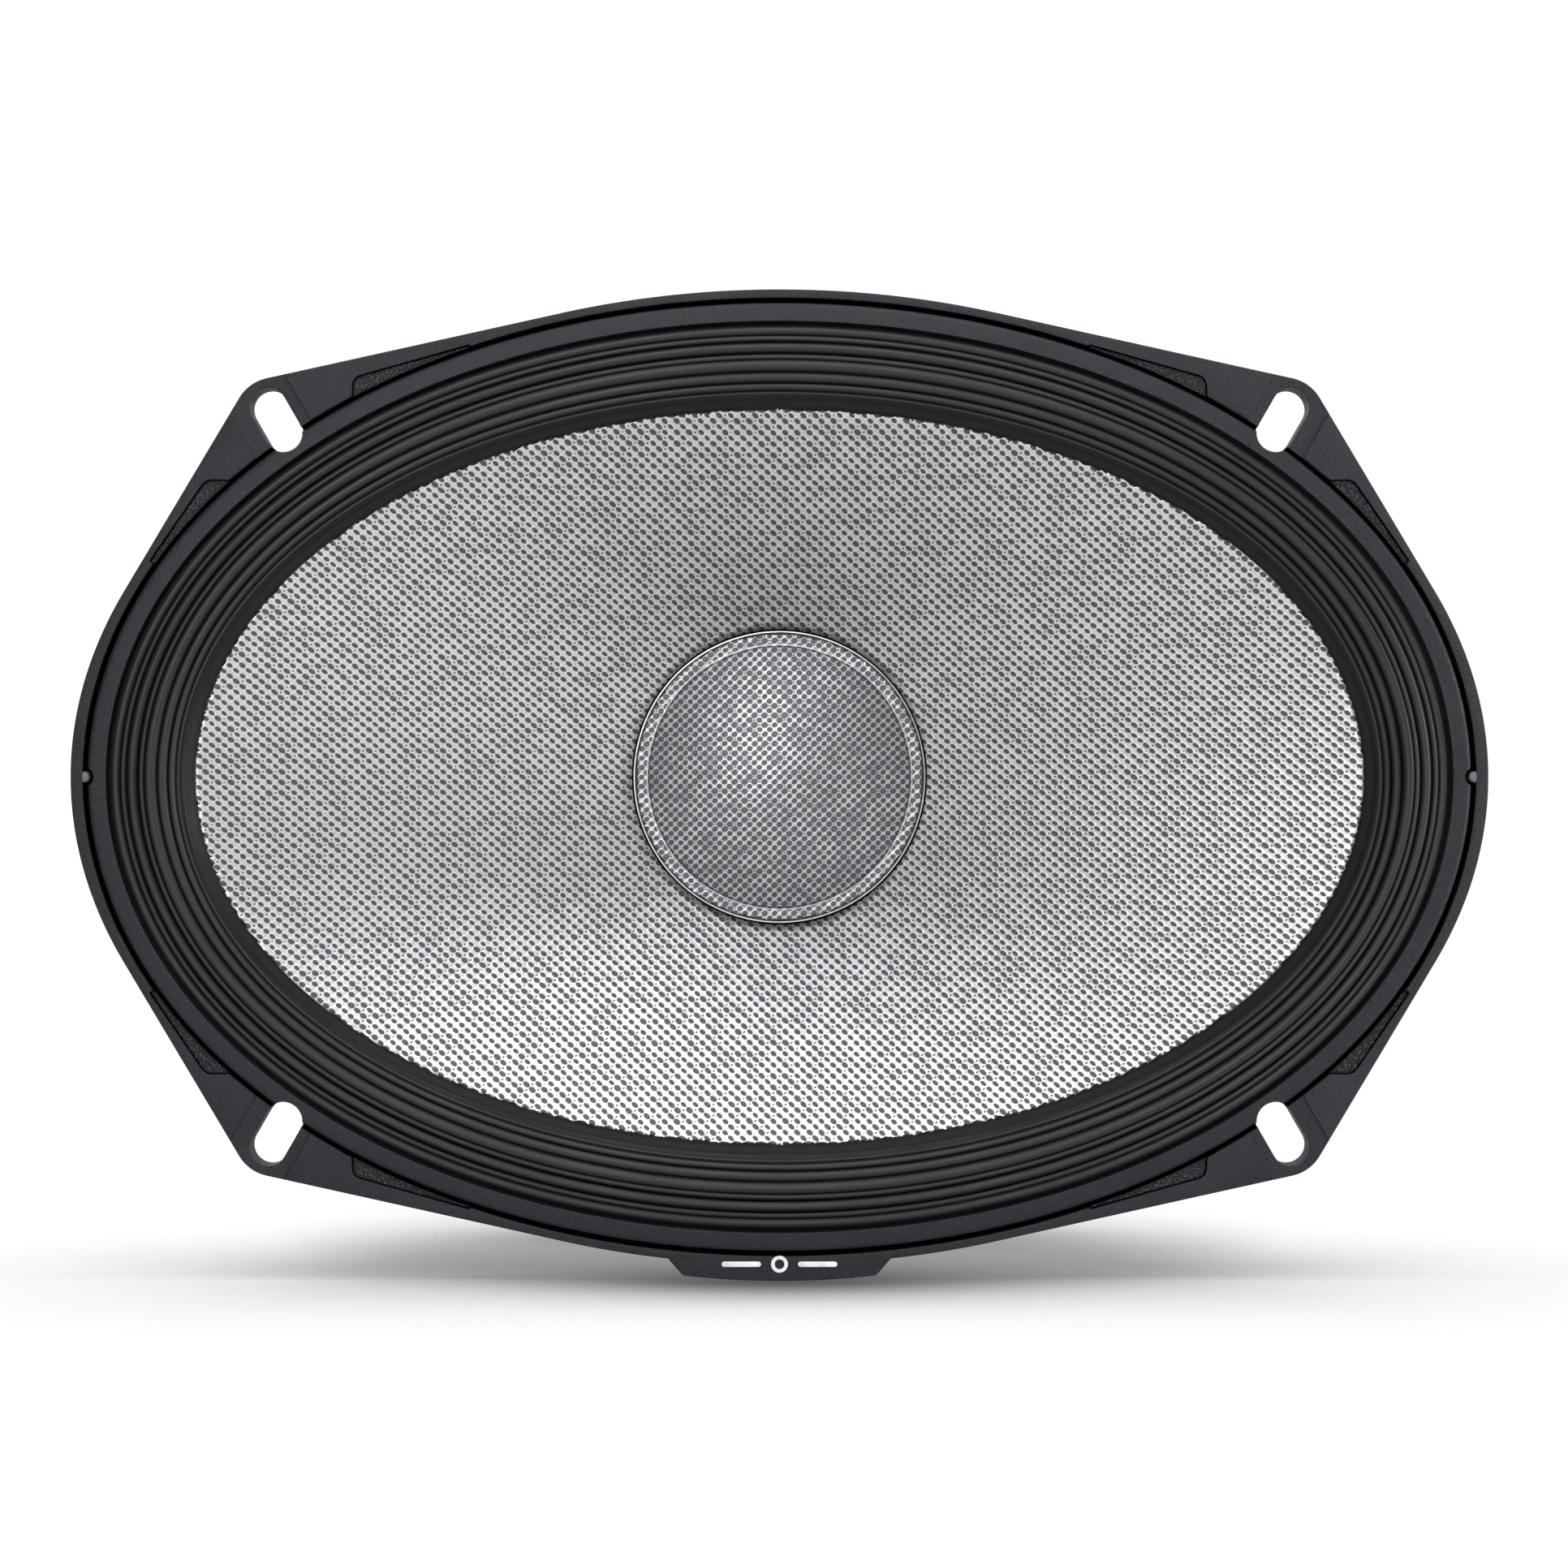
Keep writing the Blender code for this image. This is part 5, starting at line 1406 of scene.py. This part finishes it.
def refinish(node, finish, bevel=0.0, smooth=0, lumps=0.0):
    """A CAD node keeps its shape and gets its finish and soft edges."""
    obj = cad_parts[node]
    obj.data.materials.clear()
    obj.data.materials.append(finish)
    if bevel or smooth:
        obj.modifiers.new("joined", "WELD").merge_threshold = 0.002 * MM
    if bevel:
        modifier = obj.modifiers.new("edges", "BEVEL")
        modifier.width = bevel
        modifier.segments = 3
        modifier.limit_method = "ANGLE"
        modifier.angle_limit = math.radians(40.0)
        modifier.harden_normals = True
    if smooth:
        modifier = obj.modifiers.new("smooth", "SUBSURF")
        modifier.levels = smooth
        modifier.render_levels = smooth
    if lumps:
        texture = bpy.data.textures.new(node + "_lumps", "CLOUDS")
        texture.noise_scale = 2.4 * MM
        modifier = obj.modifiers.new("lumps", "DISPLACE")
        modifier.texture = texture
        modifier.strength = lumps
        modifier.mid_level = 0.5


def build_speaker():
    """Every piece of the speaker."""
    basket = basket_finish()
    make_flange(basket)
    make_bowl(moulded_black("bowl_black", (0.010, 0.012, 0.014), (0.030, 0.033, 0.038),
                            0.45 * MM, 0.05 * MM))
    make_pegs(moulded_black("peg_smooth", (0.10, 0.105, 0.11), (0.16, 0.165, 0.17),
                            0.2 * MM, 0.006 * MM, 0.4))
    make_ring(moulded_black("ring_black", (0.006, 0.0075, 0.010), (0.022, 0.025, 0.030),
                            0.3 * MM, 0.03 * MM, 0.47))
    make_tab_mark(print_finish("white_print"))
    make_gasket(foam_finish("gasket_foam"))
    make_surround(rubber_finish("surround_rubber_fine"))
    make_spider(cloth_finish("spider_dipped", (0.30, 0.17, 0.05), (0.62, 0.42, 0.17)))
    weave = weave_finish("cone_silver_weave", CONE_CELL, (0.285, 0.47),
                         (0.023, 0.025, 0.029), (0.95, 0.965, 0.985),
                         # painted shadow: a thin dark line on the cone around the cap's edge
                         ((CAP_RADIUS + 0.15 * MM, 0.32 * MM, (0.004, 0.004, 0.005), 1.0),))
    back = paper_finish("cone_back_fibre")
    make_cone(weave, back)
    cap = weave_finish("cap_silver_weave", CAP_CELL, (0.45, 0.46),
                       (0.045, 0.048, 0.054), (0.93, 0.945, 0.965),
                       # painted shade: a thin dark line just inside the dome's foot
                       ((CAP_RADIUS - CAP_RIM_WIDTH - 0.35 * MM, 0.22 * MM,
                         (0.03, 0.03, 0.035), 0.7),
                        # painted highlight: a thin bright line on the dome's foot
                        (CAP_RADIUS - CAP_RIM_WIDTH, 0.16 * MM, (0.9, 0.91, 0.93), 0.6)))
    edge = metal_finish("cap_edge_silver", (0.75, 0.76, 0.78), (0.92, 0.93, 0.94), (0.3, 0.45),
                        grain=0.5 * MM)
    make_cap(cap, back, edge)
    braid = metal_finish("lead_tinned_braid", (0.35, 0.25, 0.14), (0.85, 0.70, 0.50), (0.3, 0.45),
                         brush=(1.0, 4.0, 4.0), depth=0.05 * MM, grain=0.5 * MM)
    make_lead("tinsel_lead_positive", "terminal_positive", "lead_joint_positive", braid)
    make_lead("tinsel_lead_negative", "terminal_negative", "lead_joint_negative", braid)
    make_boot(moulded_black("boot_rubber", (0.010, 0.010, 0.011), (0.030, 0.031, 0.033),
                            0.6 * MM, 0.03 * MM, 0.5))
    tin = metal_finish("terminal_tin", (0.50, 0.50, 0.48), (0.86, 0.86, 0.84), (0.2, 0.38),
                       brush=(3.0, 1.0, 0.25), grain=1.0 * MM)
    make_terminal("terminal_positive_blade", "terminal_positive", tin)
    make_terminal("terminal_negative_blade", "terminal_negative", tin)
    make_board(moulded_black("board_black", (0.016, 0.016, 0.018), (0.035, 0.035, 0.038),
                             0.25 * MM, 0.02 * MM, 0.42))
    zinc = metal_finish("zinc_plate", (0.38, 0.38, 0.36), (0.66, 0.66, 0.63), (0.25, 0.45))
    for number in (1, 2):
        make_rivet(number, zinc)
    refinish("top_plate", zinc, 0.4 * MM, smooth=2)
    refinish("yoke", zinc, 0.6 * MM)
    refinish("magnet", ferrite_finish("ferrite"), 0.3 * MM)
    refinish("pole_cap", metal_finish("pole_copper", (0.45, 0.17, 0.08), (0.80, 0.40, 0.24)),
             0.2 * MM)
    refinish("coil_former", film_finish("former_film"))
    refinish("coil_winding", winding_finish("copper_winding"))
    glue = glue_finish("black_glue")
    refinish("neck_adhesive", glue, smooth=2, lumps=0.3 * MM)
    for name in ("lead_joint_positive", "lead_joint_negative"):
        refinish(name, glue, smooth=2, lumps=0.5 * MM)
    black_zinc = metal_finish("screw_black_zinc", (0.05, 0.05, 0.055), (0.16, 0.16, 0.17))
    for number in range(1, 5):
        refinish(f"motor_screw_{number}", black_zinc, 0.15 * MM)


# ---------------------------------------------------------------- stage
def floor_finish():
    """White floor: it glows white for the camera, with painted shadow from ambient occlusion where the
    speaker stands close and a painted dark patch before the tab; other rays see a grey matte floor.
    """
    f = Finish("pale_floor")
    f.done(f.mix(f.noise(0.02, 3.0), (0.66, 0.66, 0.66), (0.70, 0.70, 0.70)), 0.9,
           Specular_IOR_Level=0.1)
    open_sky = f.node("ShaderNodeAmbientOcclusion", {"Distance": 0.075}, out="AO", samples=8)
    x, y, z = f.axes()
    across = x / TAB_SHADE_SIZE[0]
    away = (y - (PLANE_Y - FLANGE_THICKNESS)) / TAB_SHADE_SIZE[1]
    # painted shadow: a soft dark patch on the floor before the tab
    painted_tab_shadow = f.math("POWER", 0.368, across * across + away * away) * TAB_SHADE_SHARE
    # painted shadow: ambient occlusion darkens the glow near the speaker
    shade = f.step(open_sky, 0.5, 1.0, 0.33, 1.02) * (1.0 - painted_tab_shadow)
    glow = f.node("ShaderNodeEmission", {"Color": (1.0, 1.0, 1.0), "Strength": shade})
    matte = Value(f, f.shader.outputs[0])
    f.feed(f.tree.nodes["Material Output"].inputs["Surface"], f.shown(glow, matte))
    return f.material


def make_floor():
    """Round floor disc under the speaker, made of rings."""
    z = CAD_LOW.z - 0.1 * MM
    radii = [0.05 * 1.35 ** k for k in range(14)]
    steps = 96
    angle = turn(steps)
    points = [(0.0, 0.0, z)]
    for radius in radii:
        points += [(radius * math.cos(a), radius * math.sin(a), z) for a in angle]
    faces = grid_faces(len(radii), steps, False, True, 1)
    faces += [(0, 1 + i, 1 + (i + 1) % steps) for i in range(steps)]
    mesh = world_mesh("floor", points, faces)
    mesh.materials.append(floor_finish())
    floor = bpy.data.objects.new("floor", mesh)
    SCENE.collection.objects.link(floor)


def area_light(name, place, size, watts):
    """A soft rectangular light aimed at the middle of the flange."""
    data = bpy.data.lights.new(name, "AREA")
    data.shape = "RECTANGLE"
    data.size, data.size_y = size
    data.energy = watts
    light = bpy.data.objects.new(name, data)
    SCENE.collection.objects.link(light)
    light.location = place
    aim = Vector((0.0, PLANE_Y, 0.0)) - Vector(place)
    light.rotation_euler = aim.to_track_quat("-Z", "Y").to_euler()


def make_world():
    """Even soft light, with a white backdrop where the camera looks."""
    world = bpy.data.worlds.new("studio")
    world.use_nodes = True
    w = Graph(world.node_tree)
    x, y, z = w.parts(w.node("ShaderNodeTexCoord", out="Generated"))
    strength = w.node("ShaderNodeMapRange", {"Value": y, "From Min": 0.15, "From Max": 0.5,
                                             "To Min": 0.07, "To Max": 0.85})
    light = w.node("ShaderNodeBackground", {"Color": (0.94, 0.97, 1.0), "Strength": strength})
    backdrop = w.node("ShaderNodeBackground", {"Color": (1.0, 1.0, 1.0), "Strength": 1.05})
    w.feed(w.tree.nodes["World Output"].inputs["Surface"], w.shown(backdrop, light))
    SCENE.world = world
    SCENE.view_settings.view_transform = "Standard"
    SCENE.view_settings.look = "None"


def make_lights():
    """Overhead softbox, key by the camera, low light from the right, and small fills."""
    area_light("overhead", (0.15, -0.1, 1.0), (1.2, 0.8), 9.5)
    area_light("key", (-0.28, -1.3, 0.3), (0.3, 0.3), 5.5)
    area_light("near_top", (0.0, -0.42, 0.36), (0.4, 0.2), 0.9)
    area_light("right", (0.9, -0.26, 0.12), (0.3, 0.5), 5.5)
    area_light("rear_left", (-0.7, 0.8, 0.5), (0.6, 0.6), 3.0)
    area_light("rear_right", (0.8, 0.7, 0.35), (0.5, 0.7), 1.5)


def make_camera():
    """Straight in front of the cone, as the photograph is taken."""
    distance = 0.62
    data = bpy.data.cameras.new("camera")
    data.lens = 84.85
    data.sensor_width = 36.0
    data.shift_x = 0.0029
    data.shift_y = -0.0045
    data.clip_start, data.clip_end = 0.05, 50.0
    camera = bpy.data.objects.new("camera", data)
    SCENE.collection.objects.link(camera)
    camera.location = (0.0, PLANE_Y - FLANGE_THICKNESS - distance, 0.0)
    camera.rotation_euler = (math.radians(90.0), 0.0, 0.0)
    SCENE.camera = camera


build_speaker()
make_floor()
make_world()
make_lights()
make_camera()
